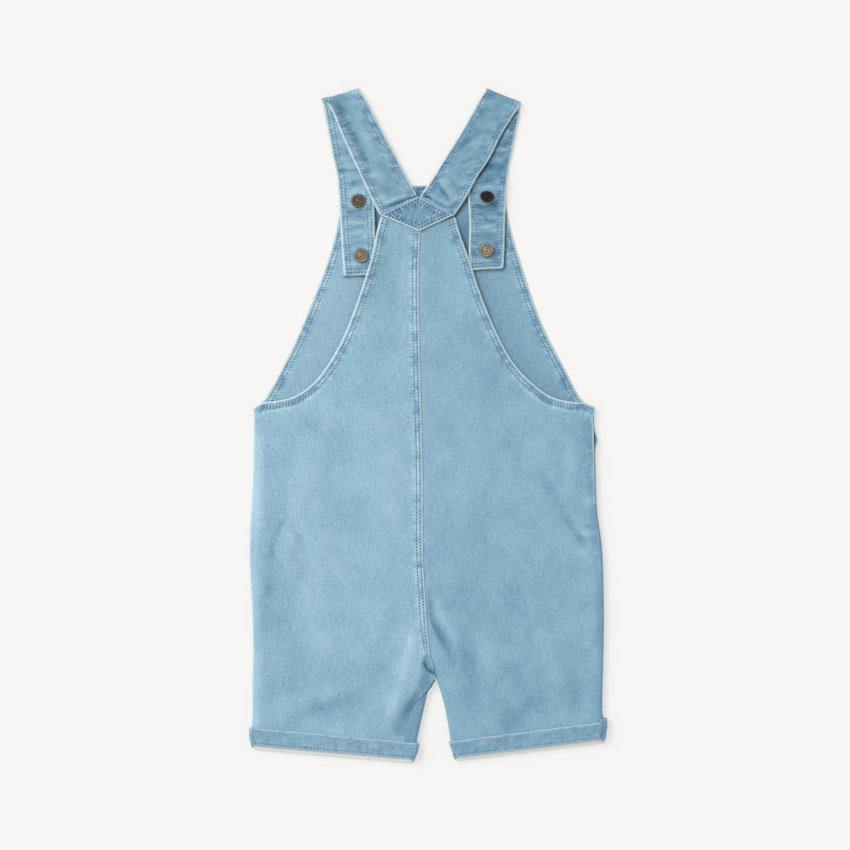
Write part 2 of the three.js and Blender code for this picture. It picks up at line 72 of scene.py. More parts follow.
def new_material(name):
    """A material with its node tree and its Principled BSDF."""
    material = bpy.data.materials.new(name)
    material.use_nodes = True
    return material, material.node_tree, material.node_tree.nodes["Principled BSDF"]


board_mesh = bpy.data.meshes.new("board")
board_corners = [(x * BOARD_REACH, y * BOARD_REACH, 0) for x, y in ((-1, -1), (1, -1), (1, 1), (-1, 1))]
board_mesh.from_pydata(board_corners, [], [(0, 1, 2, 3)])
board = put_in_scene("board", board_mesh)
board.location.z = -BOARD_DROP
board_paint, _, board_shader = new_material("board_paint")
node_input(board_shader, "Base Color", (0.38, 0.377, 0.37, 1))
node_input(board_shader, "Emission Color", (1, 0.991, 0.973, 1))
node_input(board_shader, "Emission Strength", BOARD_GLOW)
node_input(board_shader, "Roughness", 0.9)
node_input(board_shader, "Specular IOR Level", 0.1)
board_mesh.materials.append(board_paint)

window_light = bpy.data.lights.new("window", "SUN")
window_light.energy = DAYLIGHT_STRENGTH
window_light.angle = DAYLIGHT_SPREAD
window = put_in_scene("window", window_light)
window.rotation_euler = (DAYLIGHT_TILT, 0, DAYLIGHT_TURN)

room = bpy.data.worlds.new("room")
room.use_nodes = True
node_input(room.node_tree.nodes["Background"], "Color", (1, 1, 1, 1))
node_input(room.node_tree.nodes["Background"], "Strength", ROOM_STRENGTH)
bpy.context.scene.world = room
bpy.context.scene.view_settings.view_transform = "Standard"

lens = bpy.data.cameras.new("camera")
lens.lens = 100
lens.sensor_width = 36
lens.clip_end = 20
camera = put_in_scene("camera", lens)
camera.location = (*PICTURE_MIDDLE, PICTURE_WIDTH * lens.lens / lens.sensor_width + CLOTH_HEIGHT)
bpy.context.scene.camera = camera

# Front panels
# The two halves of the front, bib and legs in one, cut from light denim and lying underneath. Only the inner
# face of the bib shows from above. At the sides and the inside leg they turn up round the edge to the seam.
DENIM = 1.3
GAP = 0.3
HEM_DROP = 2.6
ROLL_EASE = 1.4
RIM_BULGE = 0.3
HEM_ROWS = (2.4, 5.3)
MIDDLE_ROWS = (1.7, 4.4)
SEAM_SPAN = 400
EDGE_COLUMNS = [0, 0.4, 0.9, 1.6, 2.4, 3.3, 4.3, 5.3, 6.3, 7.4, 8.8, 10.5]
MIDDLE_COLUMNS = 46
# The outlines are drawn about a middle of their own. The upper left snap, whose place in them is known, shows
# how far they move to lie on the frame.
SNAP_IN_OUTLINES = np.array([-55.3, 179.2, 3.9])
snap_low, snap_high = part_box("snap_upper_left")
snap_place = np.array([(snap_low.x + snap_high.x) / 2, (snap_low.y + snap_high.y) / 2, snap_low.z])
SHIFT = 1000 * snap_place - SNAP_IN_OUTLINES
# Each half runs down in three parts, bib, body and leg, each with its outer and its inner edge as [x, y]
# points. A station is a place down the half, counted in parts, with the values of STATION_NAMES there.
CENTRE_FRONT = [[-3.6, 191.6], [-4.8, 100.4], [-5.2, -23.6]]
CENTRE_LOWER = [
    [-5.2, -23.6], [-4.6, -107.6], [-3.0, -136.0], [-1.0, -166.0], [1.4, -184.0], [4.0, -193.6],
    [6.0, -200.8],
]
LEFT = {
    "bib": [
        [-71.2, 190.8], [-71.0, 168.4], [-77.2, 139.6], [-96.1, 89.5], [-111.6, 54.8], [-132.0, 18.8],
        [-138.7, 13.8],
    ],
    "body": [
        [-138.7, 13.8], [-138.8, -3.6], [-139.4, -39.6], [-142.4, -99.6], [-140.3, -147.6], [-139.4, -183.6],
    ],
    "leg": [
        [-139.4, -183.6], [-140.3, -211.6], [-139.9, -230.0], [-140.7, -243.0], [-140.6, -250.0],
        [-139.2, -255.4],
    ],
    "inseam": [
        [5.9, -200.8], [5.2, -204.4], [3.6, -208.8], [0.8, -212.6], [-0.8, -218.0], [-5.2, -238.8],
        [-7.8, -251.0], [-10.0, -262.0], [-12.4, -266.4],
    ],
    "stations": [
        [0.00, 4.4, 4.4, 4.4, 0.0, 0.5, 0.2, 0, 0],
        [0.14, 5.5, 4.2, 4.0, 0.0, 0.5, 0.2, 0, 0],
        [0.33, 5.5, 4.1, 3.8, 0.0, 0.5, 0.2, 0, 0],
        [0.48, 3.6, 4.5, 4.0, 0.0, 0.5, 0.2, 0, 0],
        [0.75, 3.2, 5.0, 4.3, 0.0, 0.5, 0.2, 0, 0],
        [1.00, 4.2, 5.3, 4.6, 0.0, 0.5, 0.2, 0, 0],
        [1.06, 4.8, 5.4, 4.7, 0.0, 0.5, 0.2, 1, 0],
        [1.30, 6.0, 5.6, 5.0, 0.0, 1.1, 0.2, 1, 0],
        [1.70, 6.4, 6.0, 5.2, 0.0, 1.1, 0.2, 1, 0],
        [2.00, 6.4, 6.2, 4.6, 0.0, 1.1, 0.2, 1, 0],
        [2.08, 6.4, 6.2, 4.8, 0.0, 1.1, 0.2, 1, 1],
        [2.18, 6.2, 6.1, 5.0, 0.0, 1.1, 0.5, 1, 1],
        [2.27, 6.1, 6.1, 5.1, 0.0, 1.1, 3.4, 1, 1],
        [2.36, 6.0, 6.0, 5.2, 0.0, 1.1, 7.6, 1, 1],
        [2.48, 5.9, 5.9, 5.3, 0.0, 0.8, 10.6, 1, 1],
        [2.66, 5.8, 5.8, 5.4, 0.0, 0.5, 11.0, 1, 1],
        [2.78, 6.0, 6.0, 6.0, 1.6, 0.5, 11.0, 1, 1],
        [3.00, 6.0, 6.0, 6.0, 1.6, 0.5, 11.0, 1, 1],
    ],
}
RIGHT = {
    "bib": [
        [62.6, 190.3], [63.4, 172.4], [67.1, 153.6], [73.8, 130.8], [90.4, 82.8], [110.0, 43.9],
        [124.4, 18.8], [132.8, 15.0],
    ],
    "body": [
        [132.8, 15.0], [134.0, -15.6], [134.6, -39.6], [135.6, -67.6], [139.6, -99.6], [141.0, -147.6],
        [140.8, -180.0],
    ],
    "leg": [
        [140.8, -180.0], [139.8, -219.6], [139.9, -230.0], [141.3, -238.0], [141.0, -246.0], [139.8, -250.4],
    ],
    "inseam": [
        [6.3, -200.8], [9.2, -210.0], [12.2, -219.6], [16.2, -238.8], [18.2, -251.6], [20.8, -259.5],
        [22.8, -264.6],
    ],
    "stations": [
        [0.00, 4.4, 4.4, 4.4, 0.0, 0.6, 0.8, 0, 0],
        [0.14, 5.3, 4.2, 4.0, 0.0, 0.6, 0.8, 0, 0],
        [0.33, 5.3, 4.1, 3.8, 0.0, 0.6, 0.8, 0, 0],
        [0.48, 3.6, 4.5, 4.0, 0.0, 0.6, 0.8, 0, 0],
        [0.75, 3.2, 5.0, 4.3, 0.0, 0.6, 0.8, 0, 0],
        [1.00, 4.2, 5.3, 4.6, 0.0, 0.6, 0.8, 0, 0],
        [1.06, 4.8, 5.4, 4.7, 0.0, 0.6, 0.8, 1, 0],
        [1.30, 5.8, 5.6, 5.0, 0.0, 1.5, 0.8, 1, 0],
        [1.70, 6.2, 5.9, 5.2, 0.0, 1.1, 0.8, 1, 0],
        [2.00, 6.3, 6.1, 4.6, 0.0, 1.1, 0.8, 1, 0],
        [2.08, 6.3, 6.1, 4.9, 0.0, 1.1, 0.8, 1, 1],
        [2.20, 6.2, 6.0, 5.6, 0.0, 1.1, 0.8, 1, 1],
        [2.66, 5.8, 5.8, 5.6, 0.0, 0.5, 0.8, 1, 1],
        [2.78, 6.0, 6.0, 6.0, 1.6, 0.5, 0.8, 1, 1],
        [3.00, 6.0, 6.0, 6.0, 1.6, 0.5, 0.8, 1, 1],
    ],
}
STATION_NAMES = ["side_top", "middle_top", "seam_top", "floor", "side_lap", "in_lap", "side_curl", "in_curl"]
EDGE_NAMES = [("side_top", "side_lap", "side_curl"), ("seam_top", "in_lap", "in_curl")]


def smooth(value):
    """A soft step from 0 to 1 while the value goes from 0 to 1."""
    share = np.clip(value, 0, 1)
    return share * share * (3 - 2 * share)


def bell(distance, width):
    """1 at no distance, about a third at one width and nothing at three."""
    return np.exp(-(distance / width) ** 2)


def spot(x, y, middle, reach):
    """1 in the middle of a soft oval spot, about a third at its reach across or up."""
    return np.exp(-((x - middle[0]) / reach[0]) ** 2 - ((y - middle[1]) / reach[1]) ** 2)


def below(at, start, span):
    """0 in the rows of a half above a place and 1 below it, with a soft step over a span."""
    return smooth((at - start) / span)[:, None]


def run_along(places):
    """How far along a line each of its places lies."""
    return np.concatenate([[0], np.cumsum(np.linalg.norm(np.diff(places, axis=0), axis=1))])


def fine_line(points, steps=40):
    """A smooth line through the points, as many places and how far along it each of them is."""
    knots = np.array(points, float)
    knots = np.vstack([2 * knots[0] - knots[1], knots, 2 * knots[-1] - knots[-2]])
    places = []
    for before, start, end, after in zip(knots, knots[1:], knots[2:], knots[3:]):
        pairs = ((before, start), (start, end), (end, after))
        spans = [max(1e-3, np.linalg.norm(b - a)) ** 0.5 for a, b in pairs]
        into = (start - before) / spans[0] - (end - before) / (spans[0] + spans[1]) + (end - start) / spans[1]
        out = (end - start) / spans[1] - (after - start) / (spans[1] + spans[2]) + (after - end) / spans[2]
        into, out = into * spans[1], out * spans[1]
        share = np.linspace(0, 1, steps, endpoint=False)[:, None]
        places.append(start + into * share + (3 * (end - start) - 2 * into - out) * share**2
                      + (2 * (start - end) + into + out) * share**3)
    places = np.vstack([*places, knots[-2:-1]])
    return places, run_along(places)


def along_line(line, share):
    """The place at a share of a line's length."""
    places, lengths = line
    return np.stack([np.interp(np.asarray(share) * lengths[-1], lengths, axis) for axis in places.T], -1)


def rows_of_half(top_rows):
    """Where the cross sections of a half lie, in parts down it: close together at the finished top edge,
    where top_rows gives them in millimetres, then every 2 mm or so."""
    bib_length = 185
    top = np.array(top_rows) / bib_length
    bib = np.concatenate([top, np.linspace(top_rows[-1] / bib_length, 1, 98)[1:-1]])
    body = np.linspace(1, 2, 110)[:-1]
    return np.concatenate([bib, body, np.linspace(2, 3, 44)])


def half_sections(half, at, outer_upper, inner_upper):
    """Both ends of every section, and its station values."""
    table = np.array(half["stations"])
    position = np.interp(at, table[:, 0], np.arange(len(table)))
    before = np.minimum(position.astype(int), len(table) - 2)
    share = smooth(position - before)[:, None]
    values = table[before, 1:] * (1 - share) + table[before + 1, 1:] * share
    here = dict(zip(STATION_NAMES, values.T[:, :, None]))
    part = np.minimum(at.astype(int), 2)
    ends = []
    for edge in ((outer_upper, half["body"], half["leg"]), (inner_upper, CENTRE_LOWER, half["inseam"])):
        lines = [fine_line(points) for points in edge]
        ends.append(np.array([along_line(lines[p], a - p) for p, a in zip(part, at)]))
    return ends[0], ends[1], here


def wrap_length(radius, lap):
    """The length of cloth that goes round an edge and laps that far over."""
    over = np.pi * radius + lap - radius
    round_it = radius * (np.pi - np.arcsin(np.clip(1 - lap / radius, -1, 1)))
    return np.where(lap >= radius, over, round_it)


def roll_gap(radius):
    """The gap of a seam, as a length of cloth on the outside of a rolled edge."""
    return ROLL_EASE * GAP * radius / (radius - DENIM)


def cloth_lengths(total, edge_steps, middle_columns):
    """The columns of a section as lengths of cloth: set distances at both edges, even steps between."""
    edge = np.array(edge_steps)
    share = np.linspace(0, 1, middle_columns + 2)[1:-1]
    middle = edge[-1] + share * (total - 2 * edge[-1])
    near = np.broadcast_to(edge, (len(total), len(edge)))
    return np.hstack([near, middle, total - near[:, ::-1]])


def rolled(length, radius, wrapped, curl):
    """Way in and way up, at lengths of cloth from the seam, where a panel rolls up round its edge."""
    flat = wrapped * (1 - curl)
    reach = flat + radius * np.sin(np.minimum(wrapped * curl / radius, np.pi / 2))
    angle = (length - flat) / radius
    inward = np.where(angle <= 0, reach - length, reach - flat - radius * np.sin(np.clip(angle, 0, np.pi)))
    inward = inward + np.maximum(angle - np.pi, 0) * radius
    return inward, radius * (1 - np.cos(np.clip(angle, 0, np.pi)))


def front_grid(half, at):
    """The outer face of a front panel."""
    start, end, here = half_sections(half, at, half["bib"], CENTRE_FRONT)
    width = np.linalg.norm(end - start, axis=1)[:, None]
    across = (end - start) / width
    wraps = []
    for top, lap, curl in EDGE_NAMES:
        radius = (here[top] - here["floor"]) / 2
        wrapped = wrap_length(radius, here[lap]) - roll_gap(radius) / 2
        reach = rolled(np.zeros_like(radius), radius, wrapped, here[curl])[0]
        wraps.append((radius, wrapped, here[curl], reach))
    total = wraps[0][1] + wraps[1][1] + width - wraps[0][3] - wraps[1][3] - GAP / 2
    length = cloth_lengths(total, EDGE_COLUMNS, MIDDLE_COLUMNS)
    near_in, near_up = rolled(wraps[0][1] - length, *wraps[0][:3])
    far_in, far_up = rolled(wraps[1][1] - (total - length), *wraps[1][:3])
    left_part = length < total / 2
    inward = np.where(left_part, near_in, width - GAP / 2 - far_in)
    up = np.where(left_part, near_up, far_up)
    place = start[:, None, :] + across[:, None, :] * inward[..., None]
    drop = HEM_DROP * smooth((at[:, None] - 2.94) / 0.06)
    lowered = drop * smooth(1 - up / (here["side_top"] - here["floor"]))
    return np.dstack([place[..., 0], place[..., 1] - lowered, here["floor"] + up])


def moved(grid, right, up=0.0):
    """A grid of places moved to the right and up, by a value for each place."""
    return grid + np.dstack([right, 0 * right, up + 0 * right])


def normals_of(grid, ring=False):
    """Unit normals of a grid of places, closed across the columns where it is a ring."""
    if ring:
        across = np.roll(grid, -1, 1) - np.roll(grid, 1, 1)
    else:
        across = np.gradient(grid, axis=1)
    normal = np.cross(across, np.gradient(grid, axis=0))
    return normal / np.maximum(np.linalg.norm(normal, axis=2, keepdims=True), 1e-9)


def value_noise(x, y, seed):
    """Smooth random heights from -1 to 1, one bump per unit of x and y."""
    corners = np.random.default_rng(seed).uniform(-1, 1, (64, 64))
    column, row = np.floor(x).astype(int), np.floor(y).astype(int)
    over, down = smooth(x - column), smooth(y - row)
    upper, lower = (
        corners[(row + k) % 64, column % 64] * (1 - over) + corners[(row + k) % 64, (column + 1) % 64] * over
        for k in (0, 1)
    )
    return upper * (1 - down) + lower * down


def sharp_dents(x, y, seed):
    """Narrow winding dents between wider swells, about one per unit, from -1 to a little above 0."""
    return 0.25 - 1.25 * np.clip(1 - 3.2 * np.abs(value_noise(x, y, seed)), 0, 1) ** 1.5


def drawn_line(points, from_share=0.0, to_share=1.0):
    """A line through the points as places about 0.4 mm apart, or only a part of it."""
    line = fine_line(points)
    count = max(3, int(line[1][-1] * (to_share - from_share) / 0.4))
    return along_line(line, np.linspace(from_share, to_share, count))


def near_line(grid, line):
    """How far each place of a grid is from a drawn line, and how far along the line that is."""
    run = run_along(line)
    distance, along = np.empty(grid.shape[:2]), np.empty(grid.shape[:2])
    for k, row in enumerate(grid[..., :2]):
        away = np.linalg.norm(row[:, None] - line[None, :, :2], axis=2)
        nearest = away.argmin(1)
        distance[k], along[k] = away.min(1), run[nearest]
    return distance, along


def beside(line, distance):
    """A line moved to its left by a distance, or to its right where that is below zero."""
    direction = np.gradient(line[:, :2], axis=0)
    direction /= np.linalg.norm(direction, axis=1, keepdims=True)
    return line[:, :2] + distance * np.column_stack([-direction[:, 1], direction[:, 0]])


def laid_on(line, grid, above=0.12):
    """The line's places at the height of a cloth face, a little above it."""
    places = grid.reshape(-1, 3)
    low, high = line.min(0) - 4, line.max(0) + 4
    places = places[((places[:, :2] > low) & (places[:, :2] < high)).all(1)]
    heights = []
    for point in line:
        away = np.linalg.norm(places[:, :2] - point, axis=1)
        nearest = np.argpartition(away, 4)[:4]
        weight = 1 / (away[nearest] + 0.05) ** 2
        heights.append((places[nearest, 2] * weight).sum() / weight.sum() + above)
    return np.column_stack([line, heights])


def sewn_edge(distance, run, rows, seed, lift=0.45, pucker=0.32):
    """Height of a turned and topstitched edge, and its fading: a raised band with a groove at each row,
    gathered into small uneven bumps that cross it. The fading is paler on the bumps and darker between them,
    partly wear and partly painted light and shade, and paler along the rows."""
    band = smooth(distance / 0.9) * (1 - smooth((distance - rows[-1] - 0.9) / 1.8))
    height = lift * band
    for row in rows:
        height = height - 0.24 * bell(distance - row, 0.55)
    middle, reach = (rows[0] + rows[-1]) / 2, rows[-1] * 0.8
    near = bell(distance - middle, reach)
    wave = value_noise(run / 2.9, distance / 8, seed) + 0.7 * value_noise(run / 6.7, distance / 12, seed + 1)
    wave = wave + 0.5 * sharp_dents(run / 4.1, distance / 11, seed + 2)
    faded = near * wave * 1.1 * smooth(distance / 1.2)
    for row in rows:
        faded = faded + 0.95 * bell(distance - row, 0.65)
    return height + pucker * near * wave, faded


def closed_wall(name, outer, inner, uv, seam, marks, material, ring=False):
    """A closed thin wall from its two faces, with rounded rims. uv and seam are lengths in millimetres: the
    place in the cloth, and the run along and distance from the nearest sewn edge. A mark is a value for each
    place, or one for each place of both faces: how worn the edge is, how faded the cloth together with the
    painted light and shade on it, how bare of dye."""
    rows, columns = outer.shape[:2]
    sheet = rows * columns
    index = np.arange(sheet).reshape(rows, columns)
    if ring:
        index = np.hstack([index, index[:, :1]])
        borders = [index[0, :-1], index[-1, :-1]]
    else:
        borders = [np.concatenate([index[0, :-1], index[:-1, -1], index[-1, :0:-1], index[:0:-1, 0]])]
    quads = np.stack([index[:-1, :-1], index[:-1, 1:], index[1:, 1:], index[1:, :-1]], -1).reshape(-1, 4)
    places = np.vstack([outer.reshape(-1, 3), inner.reshape(-1, 3)])
    rim_row = np.clip(np.arange(rows), 1, rows - 2)
    rim_column = np.arange(columns) if ring else np.clip(np.arange(columns), 1, columns - 2)
    inward_of = np.arange(sheet).reshape(rows, columns)[rim_row][:, rim_column].reshape(-1)
    faces = [quads, quads[:, ::-1] + sheet]
    source = [np.arange(2 * sheet)]
    for number, border in enumerate(borders):
        upper, lower = places[border], places[border + sheet]
        away = (upper + lower) / 2 - (places[inward_of[border]] + places[inward_of[border] + sheet]) / 2
        away /= np.maximum(np.linalg.norm(away, axis=1, keepdims=True), 1e-9)
        depth = np.linalg.norm(upper - lower, axis=1, keepdims=True)
        first = len(places)
        places = np.vstack([places, (upper + lower) / 2 + away * depth * RIM_BULGE])
        source.append(border)
        middle = first + np.arange(len(border))
        following = np.roll(np.arange(len(border)), -1)
        turn = 1 if number == 0 else -1
        for one, other in ((border, middle), (middle, border + sheet)):
            strip = np.stack([one, other, other[following], one[following]], -1)
            faces.append(strip[:, ::turn])
    faces = np.vstack(faces)
    corners = places[faces]
    volume = np.einsum("ij,ij->i", corners[:, 0], np.cross(corners[:, 1], corners[:, 2])).sum()
    volume += np.einsum("ij,ij->i", corners[:, 0], np.cross(corners[:, 2], corners[:, 3])).sum()
    if volume < 0:
        faces = faces[:, ::-1]
    mesh = bpy.data.meshes.new(name)
    mesh.from_pydata(((places + SHIFT) / 1000).tolist(), [], faces.tolist())
    source = np.concatenate(source)
    corner_places = source[faces.reshape(-1)] % sheet
    for title, lengths in (("cloth", uv), ("seam", seam)):
        layer = mesh.uv_layers.new(name=title)
        metres = lengths.reshape(-1, 2)[corner_places] / 1000
        layer.data.foreach_set("uv", metres.astype(np.float32).ravel())
    for title in ("worn", "faded", "bare"):
        values = np.broadcast_to(marks.get(title, 0.0), (2, rows, columns)).reshape(-1)[source]
        attribute = mesh.attributes.new(title, "FLOAT", "POINT")
        attribute.data.foreach_set("value", values.astype(np.float32))
    mesh.materials.append(material)
    mesh.shade_smooth()
    return put_in_scene(name, mesh)


def new_group(name, inputs, outputs):
    group = bpy.data.node_groups.new(name, "ShaderNodeTree")
    for title, kind in inputs:
        group.interface.new_socket(title, in_out="INPUT", socket_type=kind)
    for title, kind in outputs:
        group.interface.new_socket(title, in_out="OUTPUT", socket_type=kind)
    return group, group.nodes.new("NodeGroupInput"), group.nodes.new("NodeGroupOutput")


def put(tree, kind, links=(), **settings):
    """A node with its settings. links pairs an input with a socket, a number or a colour."""
    node = tree.nodes.new(kind)
    for key, value in settings.items():
        setattr(node, key, value)
    for socket, value in dict(links).items():
        if isinstance(value, bpy.types.NodeSocket):
            tree.links.new(value, node.inputs[socket])
        else:
            node.inputs[socket].default_value = value
    return node


def maths(tree, operation, first, second=0.0, third=0.0):
    return put(tree, "ShaderNodeMath", {0: first, 1: second, 2: third}, operation=operation).outputs[0]


def times(tree, first, second):
    return maths(tree, "MULTIPLY", first, second)


def times_plus(tree, first, second, added):
    return maths(tree, "MULTIPLY_ADD", first, second, added)


def mixed_colour(tree, share, first, second):
    """The first colour where the share is 0, the second where it is 1."""
    links = {"Factor": share, 6: first, 7: second}
    return put(tree, "ShaderNodeMix", links, data_type="RGBA").outputs[2]


def ramp(tree, value, low, high, to_low=0.0, to_high=1.0):
    links = {"Value": value, "From Min": low, "From Max": high, "To Min": to_low, "To Max": to_high}
    return put(tree, "ShaderNodeMapRange", links, interpolation_type="SMOOTHSTEP").outputs[0]


def stretched_noise(tree, vector, scale, detail=2.0, roughness=0.5, lift=0.0):
    sized = put(tree, "ShaderNodeVectorMath", {0: vector, 1: scale}, operation="MULTIPLY").outputs[0]
    moved = put(tree, "ShaderNodeVectorMath", {0: sized, 1: (lift, lift, lift)}, operation="ADD").outputs[0]
    links = {"Vector": moved, "Scale": 1.0, "Detail": detail, "Roughness": roughness}
    return put(tree, "ShaderNodeTexNoise", links).outputs["Fac"]


# Twill of pale weft under blue warp: fine slanting ribs, slubs along the warp and soft cloudy fading.
weave, given, result = new_group(
    "denim_weave",
    [("Cloth", "NodeSocketVector"), ("Place", "NodeSocketVector")],
    [("Grain", "NodeSocketFloat"), ("Cloud", "NodeSocketFloat"), ("Height", "NodeSocketFloat")],
)
lengths, place = given.outputs["Cloth"], given.outputs["Place"]
TWILL_TURN = math.radians(63)
RIB_SPACING = 0.00095
turned = put(weave, "ShaderNodeMapping", {"Vector": lengths, "Rotation": (0, 0, TWILL_TURN)})
rib_shake = stretched_noise(weave, lengths, (900, 900, 1), 1)
rib_line = put(weave, "ShaderNodeSeparateXYZ", {0: turned.outputs[0]}).outputs[0]
rib_phase = times_plus(weave, rib_line, 2 * math.pi / RIB_SPACING, times(weave, rib_shake, 3.0))
rib = maths(weave, "SINE", rib_phase)
warp = stretched_noise(weave, lengths, (950, 95, 1), 2, 0.6, lift=7)
weft = stretched_noise(weave, lengths, (160, 880, 1), 2, 0.65, lift=17)
fleck = stretched_noise(weave, lengths, (560, 470, 1), 3, 0.75, lift=3)
grain = times(weave, rib, 0.12)
for part, strength in ((warp, 2.0), (weft, 1.8), (fleck, 2.4)):
    grain = times_plus(weave, part, strength, grain)
cloud_small = stretched_noise(weave, place, (100, 70, 100), 3, 0.6, lift=11)
cloud_large = stretched_noise(weave, place, (24, 15, 24), 2, 0.5, lift=5)
cloud = times_plus(weave, cloud_small, 0.9, times(weave, cloud_large, 1.1))
weave.links.new(maths(weave, "SUBTRACT", grain, 3.1), result.inputs["Grain"])
weave.links.new(maths(weave, "SUBTRACT", cloud, 1.0), result.inputs["Cloud"])
weave.links.new(times_plus(weave, rib, 0.35, maths(weave, "ADD", warp, fleck)), result.inputs["Height"])

# Rubbing of a sewn edge: a pale line on the very edge, and pale and dark patches across the rows of stitches.
rubbing, given, result = new_group(
    "sewn_edge_rubbing",
    [("Seam", "NodeSocketVector"), ("Worn", "NodeSocketFloat"), ("Line Width", "NodeSocketFloat")],
    [("Line", "NodeSocketFloat"), ("Pale", "NodeSocketFloat"), ("Dark", "NodeSocketFloat")],
)
lengths, wear = given.outputs["Seam"], given.outputs["Worn"]
from_edge = put(rubbing, "ShaderNodeSeparateXYZ", {0: lengths}).outputs[1]
distance = times(rubbing, from_edge, 1000)
along = stretched_noise(rubbing, lengths, (300, 90, 1), 3, 0.6, lift=2)
line_shift = times_plus(rubbing, along, 1.8, -0.9)
line_distance = maths(rubbing, "ADD", distance, line_shift)
line_distance = maths(rubbing, "DIVIDE", line_distance, given.outputs["Line Width"])
line_mask = ramp(rubbing, line_distance, 0.55, 1.25, 1, 0)
line_mask = times(rubbing, line_mask, ramp(rubbing, along, 0.3, 0.55, 0.45, 0.95))
rubbing.links.new(times(rubbing, line_mask, wear), result.inputs["Line"])
band = times(rubbing, ramp(rubbing, distance, 0.5, 1.6), ramp(rubbing, distance, 5.5, 10.0, 1, 0))
band = times(rubbing, band, wear)
by_rows = times(rubbing, ramp(rubbing, distance, 0.8, 1.8), ramp(rubbing, distance, 6.0, 7.4, 1, 0))
by_rows = times(rubbing, by_rows, wear)
patch = stretched_noise(rubbing, lengths, (340, 110, 1), 2, 0.55, lift=9)
speck = stretched_noise(rubbing, lengths, (640, 420, 1), 1, 0.5, lift=21)
for title, patch_end, speck_range, speck_strength in (
    ("Pale", 0.72, (0.52, 0.66), 1.1), ("Dark", 0.3, (0.48, 0.34), 0.9),
):
    patches = times(rubbing, band, ramp(rubbing, patch, 0.5, patch_end))
    specks = times(rubbing, by_rows, ramp(rubbing, speck, *speck_range))
    rubbing.links.new(times_plus(rubbing, specks, speck_strength, patches), result.inputs[title])


def denim(name, ground, line_width=0.95, contrast=1.0, rubbed=1.0):
    """Washed denim of a ground colour, read from the cloth's own lengths, its sewn edges and its marks,
    which carry its fading and painted light and shade.
    """
    worn_line = (0.66, 0.75, 0.72, 1)
    undyed_deep, undyed_light = (0.88, 0.88, 0.86, 1), (0.96, 0.955, 0.94, 1)
    base = np.array(ground)
    deep = (*(base * np.array([0.50, 0.62, 0.71])), 1)
    # Where the marks are darkest, the colour goes over to a painted shadow colour
    painted_shadow_colour = (*(base * np.array([0.15, 0.26, 0.34])), 1)
    light = (*np.minimum(1, base * np.array([1.45, 1.34, 1.25])), 1)
    material, tree, shader = new_material(name)
    worn, faded, bare = (put(tree, "ShaderNodeAttribute", attribute_name=title).outputs["Fac"]
                         for title in ("worn", "faded", "bare"))
    threads = put(tree, "ShaderNodeGroup", node_tree=weave)
    tree.links.new(put(tree, "ShaderNodeUVMap", uv_map="cloth").outputs[0], threads.inputs["Cloth"])
    tree.links.new(put(tree, "ShaderNodeTexCoord").outputs["Object"], threads.inputs["Place"])
    edges = put(tree, "ShaderNodeGroup", node_tree=rubbing)
    tree.links.new(put(tree, "ShaderNodeUVMap", uv_map="seam").outputs[0], edges.inputs["Seam"])
    tree.links.new(worn, edges.inputs["Worn"])
    node_input(edges, "Line Width", line_width)
    grain = threads.outputs["Grain"]
    tone = 0.5
    for part, strength in (
        (grain, 0.3 * contrast), (threads.outputs["Cloud"], 0.12 * contrast),
        (edges.outputs["Dark"], -0.22 * rubbed), (edges.outputs["Pale"], 0.30 * rubbed), (faded, 0.36),
    ):
        tone = times_plus(tree, part, strength, tone)
    dyed = mixed_colour(tree, tone, deep, light)
    dyed = mixed_colour(tree, times_plus(tree, faded, -0.4, -0.62), dyed, painted_shadow_colour)
    undyed = mixed_colour(tree, times_plus(tree, grain, 0.5, 0.5), undyed_deep, undyed_light)
    colour = mixed_colour(tree, edges.outputs["Line"], mixed_colour(tree, bare, dyed, undyed), worn_line)
    tree.links.new(colour, shader.inputs["Base Color"])
    tree.links.new(times_plus(tree, grain, -0.1, 0.86), shader.inputs["Roughness"])
    node_input(shader, "Specular IOR Level", 0.2)
    node_input(shader, "Sheen Weight", 0.1)
    node_input(shader, "Sheen Roughness", 0.5)
    bump_links = {"Height": threads.outputs["Height"], "Distance": 0.00022, "Strength": 0.8}
    tree.links.new(put(tree, "ShaderNodeBump", bump_links).outputs[0], shader.inputs["Normal"])
    return material


# Topstitches are laid along a drawn line, one short round stitch after another.
stitching = bpy.data.node_groups.new("stitch_row", "GeometryNodeTree")
stitching.is_modifier = True
for title, kind, start_value in (
    ("Geometry", "NodeSocketGeometry", None), ("Pitch", "NodeSocketFloat", 0.0032),
    ("Stitch Length", "NodeSocketFloat", 0.0023), ("Thread", "NodeSocketFloat", 0.0004),
    ("Seed", "NodeSocketInt", 3), ("Thread Material", "NodeSocketMaterial", None),
):
    socket = stitching.interface.new_socket(title, in_out="INPUT", socket_type=kind)
    if start_value is not None:
        socket.default_value = start_value
stitching.interface.new_socket("Geometry", in_out="OUTPUT", socket_type="NodeSocketGeometry")
given = stitching.nodes.new("NodeGroupInput")
result = stitching.nodes.new("NodeGroupOutput")
drawn = put(stitching, "GeometryNodeMeshToCurve", {"Mesh": given.outputs["Geometry"]})
spaced_links = {"Curve": drawn.outputs[0], "Length": given.outputs["Pitch"]}
spaced = put(stitching, "GeometryNodeResampleCurve", spaced_links, mode="LENGTH")
bead = put(stitching, "GeometryNodeMeshUVSphere", {"Segments": 7, "Rings": 5, "Radius": 1.0})
tangent = put(stitching, "GeometryNodeInputTangent")
aligned = put(stitching, "FunctionNodeAlignRotationToVector", {"Vector": tangent.outputs[0]}, axis="X")
uneven_links = {2: 0.86, 3: 1.14, "Seed": given.outputs["Seed"]}
